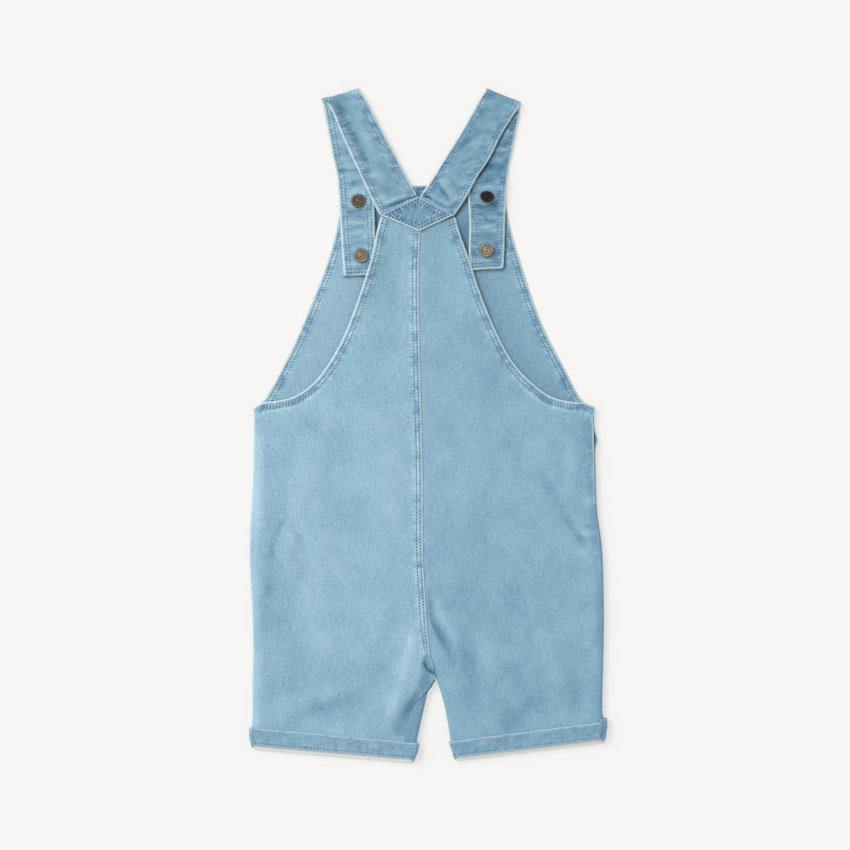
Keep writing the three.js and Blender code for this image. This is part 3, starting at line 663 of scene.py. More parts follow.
uneven = put(stitching, "FunctionNodeRandomValue", uneven_links, data_type="FLOAT")
half_length = times(stitching, times(stitching, given.outputs["Stitch Length"], 0.5), uneven.outputs[1])
size_links = {0: half_length, 1: given.outputs["Thread"], 2: given.outputs["Thread"]}
size = put(stitching, "ShaderNodeCombineXYZ", size_links)
laid = put(stitching, "GeometryNodeInstanceOnPoints", {
    "Points": spaced.outputs[0], "Instance": bead.outputs[0], "Rotation": aligned.outputs[0],
    "Scale": size.outputs[0],
})
made = put(stitching, "GeometryNodeRealizeInstances", {"Geometry": laid.outputs[0]})
dressed_links = {"Geometry": made.outputs[0], "Material": given.outputs["Thread Material"]}
dressed = put(stitching, "GeometryNodeSetMaterial", dressed_links)
stitching.links.new(dressed.outputs[0], result.inputs[0])

thread, thread_tree, thread_shader = new_material("blue_thread")
thread_place = put(thread_tree, "ShaderNodeTexCoord").outputs["Object"]
twist = stretched_noise(thread_tree, thread_place, (600, 600, 600), 2)
fade = stretched_noise(thread_tree, thread_place, (45, 45, 45), 2, lift=4)
shade = maths(thread_tree, "ADD", times(thread_tree, twist, 0.6), times_plus(thread_tree, fade, 1.2, -0.4))
thread_colour = mixed_colour(thread_tree, shade, (0.06, 0.145, 0.30, 1), (0.13, 0.26, 0.44, 1))
thread_tree.links.new(thread_colour, thread_shader.inputs["Base Color"])
node_input(thread_shader, "Roughness", 0.7)


def stitch(name, lines, pitch=2.5, length=1.85, radius=0.5, seed=3, fibre=thread):
    """Rows of stitches along lines of places in millimetres, as one piece."""
    places, edges, first = [], [], 0
    for line in lines:
        places.extend(((np.asarray(line) + SHIFT) / 1000).tolist())
        edges.extend((first + k, first + k + 1) for k in range(len(line) - 1))
        first += len(line)
    mesh = bpy.data.meshes.new(name)
    mesh.from_pydata(places, edges, [])
    rows = put_in_scene(name, mesh)
    modifier = rows.modifiers.new("stitch_row", "NODES")
    modifier.node_group = stitching
    values = {"Pitch": pitch / 1000, "Stitch Length": length / 1000, "Thread": radius / 1000, "Seed": seed,
              "Thread Material": fibre}
    for item in stitching.interface.items_tree:
        if item.in_out == "INPUT" and item.name in values:
            modifier[item.identifier] = values[item.name]
    bpy.context.view_layer.update()
    solid = bpy.data.meshes.new_from_object(rows.evaluated_get(bpy.context.evaluated_depsgraph_get()))
    rows.modifiers.clear()
    rows.data = solid
    solid.name = name
    solid.shade_smooth()
    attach(rows, "root")
    return rows


def nearest_seam(grid, seams):
    """Map of the nearest of the sewn lines for each place, with the wear, height, and fading and painted
    light, that they give.
    A seam is its drawn line, its rows of stitches, how worn it is and how far its band is raised."""
    closest = np.full(grid.shape[:2], np.inf)
    run_map, worn, height, faded = (np.zeros(grid.shape[:2]) for _ in range(4))
    for number, (line, rows, wear, lift) in enumerate(seams):
        distance, run = near_line(grid, line)
        if rows:
            raised, pale = sewn_edge(distance, run, rows, 20 + 7 * number, lift)
            height, faded = height + raised, faded + pale
        nearer = distance < closest
        run_map = np.where(nearer, run + SEAM_SPAN * number, run_map)
        worn = np.where(nearer, wear, worn)
        closest = np.minimum(closest, distance)
    return np.dstack([run_map, closest]), worn, height, faded


def fold_height(x, y, folds, narrowed=1.0):
    """Summed height of troughs and ridges, each fading out at its ends and a little uneven along it."""
    rise = np.zeros_like(x)
    for number, (points, width, depth, *lean) in enumerate(folds):
        places, lengths = fine_line(points, 6)
        directions = np.gradient(places, axis=0)
        nearest = np.full(x.shape, np.inf)
        share = np.zeros_like(x)
        on_left = np.zeros_like(x)
        for k, (px, py) in enumerate(places):
            away = (x - px) ** 2 + (y - py) ** 2
            closer = away < nearest
            nearest = np.where(closer, away, nearest)
            share = np.where(closer, lengths[k] / lengths[-1], share)
            cross = directions[k, 0] * (y - py) - directions[k, 1] * (x - px)
            on_left = np.where(closer, cross, on_left)
        fade = 0.25 + 0.75 * np.sin(np.pi * np.clip(share, 0.02, 0.98)) ** 0.7
        uneven = 1 + 0.25 * np.sin(share * 9 + number)
        wide = narrowed * width * (1 + sum(lean) * np.where(on_left > 0, 0.5, -0.5))
        rise += depth * fade * uneven * np.exp(-nearest / wide**2)
    return rise


# Soft creases of the front's outer face, as their lines, half width and height
FRONT_FOLDS = {
    "left": [
        ([[-4, -196], [-22, -176], [-46, -160]], 5, -1.0), ([[-8, -186], [-34, -150], [-40, -128]], 6, 0.8),
        ([[-112, 4], [-88, -6], [-60, -4]], 6, -0.9), ([[-110, -26], [-84, -40]], 5, -0.7),
        ([[-96, 52], [-74, 34], [-52, 26]], 5, 0.8), ([[-112, -132], [-78, -142], [-48, -136]], 7, -0.8),
        ([[-104, -196], [-74, -190], [-40, -198]], 6, 0.7), ([[-42, 120], [-34, 84], [-36, 52]], 6, -0.7),
        ([[-20, 150], [-14, 96]], 7, 0.6),
    ],
    "right": [
        ([[12, -192], [34, -170], [62, -158]], 5, -1.0), ([[16, -180], [38, -146], [42, -118]], 6, 0.8),
        ([[114, -2], [92, -14], [58, -10]], 6, -0.9), ([[118, -46], [92, -52], [70, -66]], 5, -0.7),
        ([[88, 58], [66, 42], [46, 36]], 5, 0.8), ([[124, -128], [92, -140], [56, -132]], 7, -0.8),
        ([[120, -204], [90, -196], [52, -200]], 6, 0.7), ([[34, 116], [24, 82], [28, 50]], 6, -0.7),
    ],
}
# Painted shadow lines on the inner face, just below and to the right of a strap that lies on it, with their
# depths
STRAP_SHADES = {
    "left": [([[-66.5, 119.9], [-40.8, 120.6]], 0.9)],
    "right": [
        ([[20.8, 167.6], [30.6, 182.4]], 1.5), ([[33.6, 124.4], [60, 126]], 1.4),
        ([[60, 126], [60.8, 140.6], [61.4, 163], [62, 176]], 1.4),
    ],
}
# The shade beside the back panels' armholes, as its middle line
BACK_SHADES = {
    "left": [[-45, 132], [-67, 71], [-96, 29], [-121, 19]],
    "right": [[32, 135], [49, 88], [67, 52], [100, 22], [124, 18]],
}
TOP_ROWS = [0, 0.5, 1.1, 1.8, 2.4, 3.2, 4.2, 5.3, 6.2, 7.4, 9]
front_at = rows_of_half(TOP_ROWS)
# The left half is paler than the right: painted light, as the light falls from the left
front_ground = {"left": (0.305, 0.485, 0.6), "right": (0.24, 0.41, 0.525)}
for side, half, turn in (("left", LEFT, 1), ("right", RIGHT, -1)):
    outer = front_grid(half, front_at)
    normal = normals_of(outer) * turn
    inner = outer - normal * DENIM
    bib_edge = drawn_line(half["bib"])
    top_edge = drawn_line([half["bib"][0], CENTRE_FRONT[0]])
    seams = [(bib_edge, HEM_ROWS, 0.8, 0.3), (top_edge, HEM_ROWS, 0.6, 0.3)]
    seam, worn, height, faded = nearest_seam(inner, seams)
    in_bib = 1 - below(front_at, 0.99, 0.03)
    worn, height, faded = worn * in_bib, height * in_bib, faded * in_bib
    inner = inner - normal * height[..., None]
    # Shade on the inner face: in the neck, between the straps, along a strap's lower edges, beside the back
    x, y = inner[..., 0], inner[..., 1]
    shaded = bell(x + 5, 15) * smooth((y - 172) / 8)
    between_straps = spot(x, y, (29, 148), (6, 20)) + spot(x, y, (-38, 156), (4, 16))
    between_straps += 2.0 * spot(x, y, (-41.6, 160), (0.8, 14))
    shaded += (1.5 if side == "left" else 0.8) * between_straps
    for points, depth in STRAP_SHADES[side]:
        contact = beside(drawn_line(points), -1.3)
        shaded += depth * bell(near_line(inner, contact)[0], 1.0)
    from_back = near_line(inner, drawn_line(BACK_SHADES[side]))[0]
    shaded += (0.07 if side == "left" else 0.24) * bell(from_back, 15)
    bare = below(front_at, 2.9, 0.03)
    # The outer face, which the garment rests on: rows along the bib and the middle, and creases
    centre_edge = drawn_line(CENTRE_FRONT + CENTRE_LOWER[1:])
    from_centre, centre_run = near_line(outer, centre_edge)
    on_floor = 1 - smooth(outer[..., 2] / 0.6)
    outer_fading_and_painted_light = sewn_edge(from_centre, centre_run, MIDDLE_ROWS, 45)[1] * (side == "left")
    outer_fading_and_painted_light = outer_fading_and_painted_light - 1.6 * bell(from_centre, 0.6)
    crease = fold_height(outer[..., 0], outer[..., 1], FRONT_FOLDS[side])
    # The creases are painted darker in their troughs and paler on their ridges: painted shade and light
    outer_fading_and_painted_light = (outer_fading_and_painted_light + 0.9 * crease) * on_floor
    dips = sum(bell(seam[..., 1] - row, 0.7) for row in HEM_ROWS) * in_bib
    dips = dips + sum(bell(from_centre - row, 0.7) for row in MIDDLE_ROWS) * (side == "left")
    outer[..., 2] += on_floor * (0.35 * np.minimum(dips, 1) + 0.3 * np.maximum(-crease, 0))
    # Painted light and shade where the outer face turns up round the edges: on the left half, paler along the
    # side and darker elsewhere in the legs; on the right half, darker at the side's bulge
    turned_up = smooth((outer[..., 2] - 2) / 1.5) * below(front_at, 2.1, 0.1)
    turned_up = np.where(outer[..., 0] < -100, -0.9 * smooth((outer[..., 2] - 1) / 1.5), turned_up)
    if side == "right":
        bulge = bell(outer[..., 1] + 11.5, 5.5) * smooth((outer[..., 0] - 128) / 5)
        outer, inner = moved(outer, 1.7 * bulge), moved(inner, 1.7 * bulge)
        turned_up = 1.6 * bulge
    marks = {"worn": worn, "bare": np.stack([np.zeros_like(worn), np.broadcast_to(bare, worn.shape)]),
             "faded": np.stack([faded - 1.2 * turned_up + outer_fading_and_painted_light, faded - 2.2 * shaded])}
    front_denim = denim(f"front_denim_{side}", front_ground[side])
    cloth = closed_wall(f"front_panel_{side}", outer, inner, outer[..., :2], seam, marks, front_denim)
    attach(cloth, "root")
    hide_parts(f"front_{side}")
    lines = []
    for distance in HEM_ROWS:
        for face, above in ((inner, 0.12), (outer, 0.1)):
            lines.append(laid_on(beside(bib_edge, turn * distance), face, above))
            lines.append(laid_on(beside(top_edge, -turn * distance)[12:], face, above))
    if side == "left":
        lines += [laid_on(beside(centre_edge, -distance)[5:-5], outer, 0.1) for distance in MIDDLE_ROWS]
    threads_here = stitch(f"front_stitches_{side}", lines, seed=5)

# Back panels
# The two halves of the back, armhole to leg, lie on the front. Their armholes are turned under and sewn with
# two rows. The left half laps over the right down the middle, and its inside leg shows as a flap edge.
SIDE_BLEND = 34
CENTRE_UPPER = [[-6.9, 157.2], [-8.1, 124.4], [-7.4, 60], [-5.2, -23.6]]
LEFT["armhole"] = [
    [-37.2, 166.8], [-40.2, 155.6], [-45.4, 131.6], [-52.1, 110.0], [-67.0, 70.8], [-82.6, 43.6],
    [-96.1, 29.2], [-108.8, 22.0], [-121.3, 19.2], [-132.0, 17.8], [-138.7, 13.8],
]
RIGHT["armhole"] = [
    [21.8, 166.2], [26.2, 151.1], [32.2, 134.8], [40.8, 108.4], [48.9, 87.6], [67.2, 51.6],
    [84.7, 32.4], [100.2, 22.0], [117.6, 18.2], [123.5, 18.2], [132.8, 15.0],
]
# Troughs are below zero and ridges above: [x, y] points along each, its half width, its height and how much
# wider it is on its left than on its right
BACK_FOLDS = [
    ([[-113, -72], [-117, -80], [-121.4, -89.6], [-124, -100], [-125, -110]], 2.0, -0.9, 0.3),
    ([[-125, -110], [-127, -140], [-132, -176]], 4.5, -0.5),
    ([[-104, -62], [-110, -92], [-112, -128]], 6, 0.7),
    ([[-108, -79], [-104, -87], [-100, -96], [-98, -104]], 1.5, -0.8),
    ([[-112, -20], [-110, -44]], 7, -0.5),
    ([[-131, -40], [-132, -100], [-134, -150]], 5, 0.6),
    ([[94, -42], [99, -54], [107, -68]], 4.5, -0.9),
    ([[111, -72], [116.6, -82], [121.6, -89.6], [126, -97]], 3.0, -1.5, -0.4),
    ([[123, -84], [130, -91]], 2.4, 0.8),
    ([[114, -14], [115, -48]], 5, 0.6),
    ([[121, -98], [128, -108]], 4, 0.5),
    ([[120, -79.5], [127, -81.6], [133, -82.2], [139, -82.2]], 1.4, -1.0),
    ([[122, -86], [130, -87], [138, -86.5]], 2.2, 0.6),
    ([[-21.6, 154], [-21.2, 140], [-22, 126]], 1.6, -0.45),
    ([[4, 148], [5, 120], [5, 90]], 5, -0.35),
    ([[1.2, -134], [2.4, -146], [4.4, -157.4], [8.7, -166.2], [13.1, -174.2], [17, -183], [20, -192]],
     2.9, -2.2, 0.8),
    ([[2, -130], [10, -150], [21, -166], [30, -176]], 4.2, 1.0),
    ([[30, -168], [35, -190], [37, -222]], 6.5, -1.2),
    ([[46, -170], [52, -196], [64, -224]], 8, 0.7),
    ([[-10, -160], [-16, -190], [-24, -216], [-32, -240]], 4.6, 1.2),
    ([[-26, -150], [-36, -190], [-50, -225]], 8, -0.5),
    ([[-6, -190], [-9, -206], [-16, -222]], 4, 0.7),
    ([[-4, -212], [-11, -222], [-18, -234], [-24, -244]], 4.4, -1.9),
    ([[-14, -232], [-24, -244], [-40, -250]], 6, -0.9),
    ([[-60, -221], [-94, -231], [-118, -243]], 5.5, -1.1),
    ([[-60, -208], [-92, -217], [-118, -226]], 6, 0.6),
    ([[-50, -236], [-92, -247]], 4, 0.4),
    ([[84, -224], [70, -234], [54, -244]], 7, -1.1),
    ([[122, -206], [118, -232]], 6, -0.8),
    ([[100, -190], [104, -224]], 7, 0.6),
    ([[-70, 10], [-66, -30], [-58, -80]], 15, -0.6),
    ([[62, 0], [56, -50], [48, -90]], 16, -0.5),
    ([[-92, -120], [-86, -160], [-78, -190]], 12, 0.5),
    ([[84, -130], [92, -170], [96, -200]], 12, 0.5),
    ([[-26, 120], [-34, 70], [-50, 30]], 9, -0.45),
    ([[24, 112], [28, 84], [30, 60]], 7, 0.5),
    ([[26, 110], [38, 70], [56, 34]], 8, -0.45),
    ([[-104, 6], [-84, -6], [-60, -12]], 6, -0.4),
    ([[100, 6], [82, -8], [62, -16]], 6, -0.4),
    ([[-18, 130], [-20, 100], [-18, 60]], 4, 0.35),
]

# Soft spots, partly uneven washing and partly painted shade, as the dark ones by the crotch curl and the
# flap: where each is, how far it reaches and how much paler than the rest it is
BACK_WASH_AND_SHADE = [
    (-34, 124, 16, 34, -0.7), (-120, -140, 18, 60, -0.55), (-78, -212, 46, 30, -0.45),
    (70, -214, 50, 34, -0.4), (58, -140, 60, 30, -0.35), (-70, -20, 40, 40, 0.25),
    (12, 120, 12, 30, 0.3), (-18, -186, 9, 24, 0.2),
    (-1, -206, 7, 8, -1.2), (-12, -222, 8, 10, -0.8), (-16, -242, 10, 9, -0.5),
    (129, -61, 5, 5, 1.2), (113, -40, 5, 26, 0.3), (125, -20, 7, 38, -0.5), (2, -202, 5, 6, -1.0),
    (-34, 124, 14, 16, 0.35), (58, -20, 40, 40, 0.2),
]


def turned_down(length, radius, lap, curl):
    """Way in and way down, at lengths of cloth from the edge, where the back turns down to the seam."""
    turned = np.maximum(0, np.pi * radius - wrap_length(radius, lap) - roll_gap(radius) / 2)
    start = curl * (lap + np.where(turned > 0, 0, GAP / 2))
    reach = start + turned * (1 - curl) + radius * np.sin(curl * turned / radius)
    before_top = turned * curl - length
    angle = np.maximum(before_top, 0) / radius
    flat = reach - turned * (1 - curl)
    return flat - np.where(before_top > 0, radius * np.sin(angle), before_top), radius * (1 - np.cos(angle))


def back_grid(half, at, folds):
    """The outer face of a back panel, the distances of each place from both edges and its folds' height."""
    start, end, here = half_sections(half, at, half["armhole"], CENTRE_UPPER)
    width = np.linalg.norm(end - start, axis=1)[:, None]
    across = (end - start) / width
    edges = []
    for top, lap, curl in EDGE_NAMES:
        radius = (here[top] - here["floor"]) / 2
        edges.append((radius, here[lap], here[curl]))
    far = np.full_like(width, 60)
    taken = sum(turned_down(far, *edge)[0] - far for edge in edges)
    total = width - GAP / 2 - taken
    length = cloth_lengths(total, EDGE_COLUMNS, MIDDLE_COLUMNS)
    near_in, near_down = turned_down(length, *edges[0])
    far_in, far_down = turned_down(total - length, *edges[1])
    left_part = length < total / 2
    inward = np.where(left_part, near_in, width - GAP / 2 - far_in)
    down = np.where(left_part, near_down, far_down)
    place = start[:, None, :] + across[:, None, :] * inward[..., None]
    blend = np.minimum(SIDE_BLEND, width / 2)
    by_side = smooth(inward / blend)
    by_seam = smooth((width - inward) / blend)
    plain = here["middle_top"] * by_side * by_seam + here["side_top"] * (1 - by_side)
    plain = plain + here["seam_top"] * (1 - by_seam)
    clear_of_cuff = smooth((2.72 - at[:, None]) / 0.2)
    bumps = fold_height(place[..., 0], place[..., 1], folds)
    lowest = 2 * DENIM + GAP + here["floor"]
    inside = smooth(inward / 6) * smooth((width - inward + 1) / 6)
    top = np.maximum(lowest, plain + clear_of_cuff * inside * bumps)
    return np.dstack([place, top - down]), length, total - length, bumps


def lint_thread(name, deep, light):
    """Thin thread with lint on it, in two tones."""
    material, tree, shader = new_material(name)
    fluff = stretched_noise(tree, put(tree, "ShaderNodeTexCoord").outputs["Object"], (300, 300, 300), 2)
    tree.links.new(mixed_colour(tree, fluff, deep, light), shader.inputs["Base Color"])
    node_input(shader, "Roughness", 0.8)
    return material


lint = lint_thread("pale_lint", (0.14, 0.28, 0.40, 1), (0.86, 0.93, 0.94, 1))


def lint_between(name, lines, pitch=2.5, radius=0.32, seed=7):
    """Specks of pale lint in the gaps between the stitches of the same rows."""
    middles = []
    for line in lines:
        line = np.asarray(line)
        run = run_along(line)
        gaps = np.linspace(pitch / 2, run[-1] - pitch / 2, len(line))
        middles.append(np.column_stack([np.interp(gaps, run, line[:, axis]) for axis in range(3)]))
    return stitch(name, middles, pitch, 2.6 * radius, radius, seed, lint)


back_at = rows_of_half([0, 1.4, 3, 5])
HIP_ROW = 3.9
ROW_ENDS = {"left": -133.1, "right": 131.3}
# The left half is paler than the right: painted light, as the light falls from the left
back_ground = {"left": (0.30, 0.49, 0.605), "right": (0.25, 0.43, 0.55)}
for side, half, turn in (("left", LEFT, 1), ("right", RIGHT, -1)):
    outer, from_side, from_middle, bumps = back_grid(half, back_at, BACK_FOLDS)
    normal = -normals_of(outer) * turn
    inner = outer - normal * DENIM
    armhole = drawn_line(half["armhole"])
    centre = np.vstack([drawn_line(CENTRE_UPPER), drawn_line(CENTRE_LOWER)[1:]])
    slit = drawn_line(half["body"], 0.05, 0.40)
    seams = [(armhole, HEM_ROWS, 1.0, 0.4)]
    if side == "left":
        seams.append((centre, MIDDLE_ROWS, 0.85, 0.35))
    else:
        seams.append((slit + [-1.5, 0], (), 0.55, 0))
    seam, worn, height, faded = nearest_seam(outer, seams)
    if side == "right":
        height -= 0.8 * (1 - smooth(near_line(outer, centre)[0] / 5))
    above_crotch = 1 - below(back_at, 2.02, 0.06)
    below_armhole = below(back_at, 1.02, 0.1)
    worn, height = worn * (1 - below(back_at, 1.80, 0.14)), height * above_crotch

    x, y = outer[..., 0], outer[..., 1]
    height += 0.18 * value_noise(x / 17, y / 23, 41) + 0.07 * value_noise(x / 5, y / 6, 42)
    # The folds are painted darker in their troughs and paler on their ridges: painted shade and light. The
    # rest is uneven tone
    faded += bumps * 0.62 + 0.25 * value_noise(x / 9, y / 13, 43)
    # Soft spots of uneven washing and of painted shade
    for tone_x, tone_y, wide, tall, paler in BACK_WASH_AND_SHADE:
        faded += paler * spot(x, y, (tone_x, tone_y), (wide, tall))
    # Wear along the hem at the hip, and along the side, where the turned allowances lie under the cloth.
    # Along the side edge, also a painted highlight on the left half and painted shade on the right half
    hem_away, hem_run = near_line(outer, armhole)
    by_hip = smooth((hem_run / hem_run.max() - 0.55) / 0.2)
    faded += 1.1 * by_hip * bell(hem_away - 7.6, 0.8)
    side_highlight_and_shade = bell(from_side - 2.5, 3.2) * below_armhole * (1 + 0.6 * value_noise(x / 4, y / 19, 44))
    faded += (0.6 if side == "left" else -0.6) * side_highlight_and_shade
    if side == "left":
        allowance = (1 - smooth((from_side - 7.2) / 1.8)) * smooth((y + 120) / 60)
        faded += 0.45 * allowance * below_armhole
        # The curled end of the lap at the crotch, sunk in, with painted shadow in it and beside it
        curl = drawn_line([[-3.0, -184.5], [-2.2, -191], [0.2, -196.0], [3.4, -198.0], [6.2, -198.8]])
        curl_away, curl_run = near_line(outer, curl)
        curl_depth = smooth(0.35 + curl_run / 10)
        height -= 1.2 * curl_depth * bell(curl_away, 1.3)
        faded -= curl_depth * (3.4 * bell(curl_away, 1.0) + 1.0 * bell(curl_away, 3.4))
        # The lap over the right half, and the edge of the inside leg that stands a little out
        lap_over = 1.1 * above_crotch * (1 - smooth(from_middle / 9))
        low_leg = below(back_at, 2.34, 0.08) * (1 - smooth(from_middle / 3))
        outer = moved(moved(outer, lap_over), 1.4 * low_leg, -0.1 * low_leg)
        inner = moved(moved(inner, lap_over, 0.35 * lap_over), 1.2 * low_leg, 1.2 * low_leg)
    outer = outer + normal * height[..., None]
    back_denim = denim(f"back_denim_{side}", back_ground[side], rubbed=0.8)
    marks = {"worn": worn, "faded": faded}
    cloth = closed_wall(f"back_panel_{side}", outer, inner, np.dstack([x, y]), seam, marks, back_denim)
    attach(cloth, "root")
    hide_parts(f"back_{side}")
    lines = []
    hip_part = drawn_line(half["armhole"], 0.74, 0.985)
    for distance, part in [(distance, armhole) for distance in HEM_ROWS] + [(HIP_ROW, hip_part)]:
        row = beside(part, turn * distance)
        lines.append(laid_on(row[turn * (row[:, 0] - ROW_ENDS[side]) > 0], outer))
    if side == "left":
        closing = smooth((np.arange(len(centre)) / len(centre) - 0.86) / 0.14)[:, None]
        near_row, far_row = (beside(centre, -distance) for distance in MIDDLE_ROWS)
        lines.append(laid_on(near_row + [0.7, 0], outer)[:-10])
        far_row = far_row * (1 - 0.62 * closing) + near_row * 0.62 * closing
        lines.append(laid_on(far_row + [0.4, 0], outer)[:-20])
    threads_here = stitch(f"back_stitches_{side}", lines, seed=7)
    sewn_on = [threads_here, lint_between(f"back_lint_{side}", lines)]
    if side == "left":
        flap_start, flap_end = (int(np.argmin(np.abs(back_at - place))) for place in (2.05, 2.36))
        flap = outer[flap_start:flap_end, -1 if from_middle[0, -1] < 1 else 0] + [0.1, -0.1, 0.1]
        dark_brown = lint_thread("dark_brown_thread", (0.045, 0.03, 0.024, 1), (0.13, 0.085, 0.06, 1))
        sewn_on.append(stitch("back_flap_overlock", [flap], pitch=0.8, length=1.4, radius=0.42, seed=17,
                              fibre=dark_brown))

# Cuffs
# Each leg ends in a turned-up band of the same denim, a flattened ring round the leg. Its back edge is a
# little higher than its front, so the pale wrong side of the front shows below it. One row of short stitches.
CUFF_RISE = DENIM + GAP
CUFF_EASE = 0.15
CUFF_DROP = 3.5
CUFF_ROW = 2.4
cuff_at = np.concatenate([[2.81, 2.816, 2.824], np.linspace(2.835, 2.97, 16), [2.978, 2.986, 2.994, 3.0]])
overlock = lint_thread("brown_overlock_thread", (0.30, 0.21, 0.15, 1), (0.62, 0.52, 0.43, 1))
# The left cuff is paler than the right: painted light, as the light falls from the left
cuff_ground = {"left": (0.235, 0.40, 0.52), "right": (0.21, 0.37, 0.485)}


def down_side(half, at):
    """How far down the outer edge the places of a leg lie."""
    bib, body, leg = (fine_line(half[part])[1][-1] for part in ("bib", "body", "leg"))
    return bib + body + (at - 2) * leg


def cuff_grid(half, at):
    """The outer face of a cuff, a flattened ring at each place, and how far round it each place lies."""
    start, end, here = half_sections(half, at, half["bib"], CENTRE_FRONT)
    columns = 56
    flat = np.linspace(0, 1, columns, endpoint=False)
    turns = np.linspace(0, np.pi, 9, endpoint=False)
    rows = []
    for k, place in enumerate(at):
        height = here["side_top"][k, 0] + CUFF_RISE
        radius = height / 2
        width = np.linalg.norm(end[k] - start[k])
        across = (end[k] - start[k]) / width
        near = radius - CUFF_RISE - CUFF_EASE
        far = width - GAP / 2 - near
        inward = np.concatenate([near + (far - near) * flat, far + radius * np.sin(turns),
                                 far + (near - far) * flat, near - radius * np.sin(turns)])
        up = np.concatenate([np.full(columns, height), radius * (1 + np.cos(turns)), np.zeros(columns),
                             radius * (1 - np.cos(turns))])
        xy = start[k] + across * inward[:, None]
        drop = CUFF_DROP * smooth((place - 2.94) / 0.06) * smooth(1 - up / height)
        rows.append(np.column_stack([xy[:, 0], xy[:, 1] - drop, up]))
    return np.array(rows), np.array([run_along(row) for row in rows])


for side, half, turn in (("left", LEFT, 1), ("right", RIGHT, -1)):
    outer, around = cuff_grid(half, cuff_at)
    down_run = down_side(half, cuff_at)
    normal = -normals_of(outer, ring=True) * turn
    inner = outer - normal * DENIM
    all_round = np.zeros_like(around)
    from_top = (down_run - down_run[0])[:, None]
    from_end = (down_run[-1] - down_run)[:, None]
    outer[..., 1] += 0.5 * value_noise(around / 5.2, all_round, 51) * (1 - smooth(from_top / 4))
    height = 0.25 * smooth(from_top / 1.2) * smooth(from_end / 1.0)
    side_seam = all_round
    if side == "right":
        folded_end = smooth((outer[..., 0] - 137.4) / 1.6)
        outer[..., 1] += 3.0 * folded_end * (1 - from_top / from_top[-1])
        side_seam = bell(outer[..., 0] - 138.6, 0.55) * (outer[..., 2] > 3)
        height = height + 0.3 * folded_end - 0.5 * side_seam
    height = height - 0.3 * bell(from_end - CUFF_ROW, 0.6)
    blotch = value_noise(around / 5.5, from_top / 5 + all_round, 53)
    blotch = blotch + 0.6 * value_noise(around / 2.6, from_top / 3 + all_round, 54)
    height = height + 0.22 * blotch * smooth(from_end / 2)
    gather = value_noise(around / 2.5, from_end / 6 + all_round, 57) * bell(from_end - CUFF_ROW, 1.8)
    outer = outer + normal * (height + 0.15 * gather)[..., None]
    outer[..., 2] = np.maximum(outer[..., 2], 0)
    on_board = outer[..., 2] < 1.0
    doubled = on_board * (1 - smooth((from_end - 2.6) / 1.6)) * smooth((from_end + 0.8) / 0.8)
    inner[..., 2] += 2.3 * doubled
    from_rim = np.broadcast_to(np.minimum(from_top, from_end * 1.6), outer.shape[:2])
    uv = np.dstack([around, np.broadcast_to(down_run[:, None], around.shape)])
    gaps = 2.0 * bell(from_end - CUFF_ROW, 0.8) * (0.8 + 0.4 * value_noise(around / 3, all_round, 58))
    low_rim = 1.0 * (on_board & (from_end < 0.5))
    # The band's colour follows its blotches and gathers, paler where they swell out: partly uneven wear and
    # partly painted light and shade. Pale gaps by the stitches, a darker side seam
    marks = {"worn": np.where(from_top < from_end, 0.36, 0.45) + all_round,
             "faded": 0.35 * blotch + 0.9 * gather + gaps - 2.6 * side_seam,
             "bare": np.stack([low_rim, all_round + 1])}
    seam = np.dstack([around, from_rim])
    cuff_denim = denim(f"cuff_denim_{side}", cuff_ground[side], contrast=1.3)
    cloth = closed_wall(f"cuff_band_{side}", outer, inner, uv, seam, marks, cuff_denim, ring=True)
    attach(cloth, "root")
    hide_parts(f"cuff_{side}")
    row = int(np.argmin(np.abs(from_end[:, 0] - CUFF_ROW)))
    ring = np.vstack([outer[row], outer[row, :1]]) + [0, 0, 0.1]
    threads_here = stitch(f"cuff_stitches_{side}", [ring], length=1.9, radius=0.52, seed=9)
    cuff_lint = lint_between(f"cuff_lint_{side}", [ring])
    low_side = (outer[-1, :, 2] < 0.4) & (outer[-1, :, 0] > outer[-1, :, 0].min() + 4)
    low_side &= outer[-1, :, 0] < outer[-1, :, 0].max() - 4
    edge_line = outer[-1, low_side]
    edge_line = edge_line[np.argsort(edge_line[:, 0])] + [0, -0.35, 0.75]
    edge_threads = stitch(f"cuff_overlock_{side}", [edge_line], pitch=0.9, length=1.3, radius=0.22, seed=15,
                          fibre=overlock)

# Straps
# Each strap is one folded band of denim, topstitched with two rows at both edges. It starts on the bib under
# its snaps, turns over at the shoulder and runs back down, across the other strap's end, to the patch.
STRAP_DENIM = 2.0
STRAP_ROWS = 260
STRAP_MIDDLE = 14
STRAP_STEPS = [0, 0.5, 1.0, 1.7, 2.4, 3.3, 4.3, 5.3, 6.4]
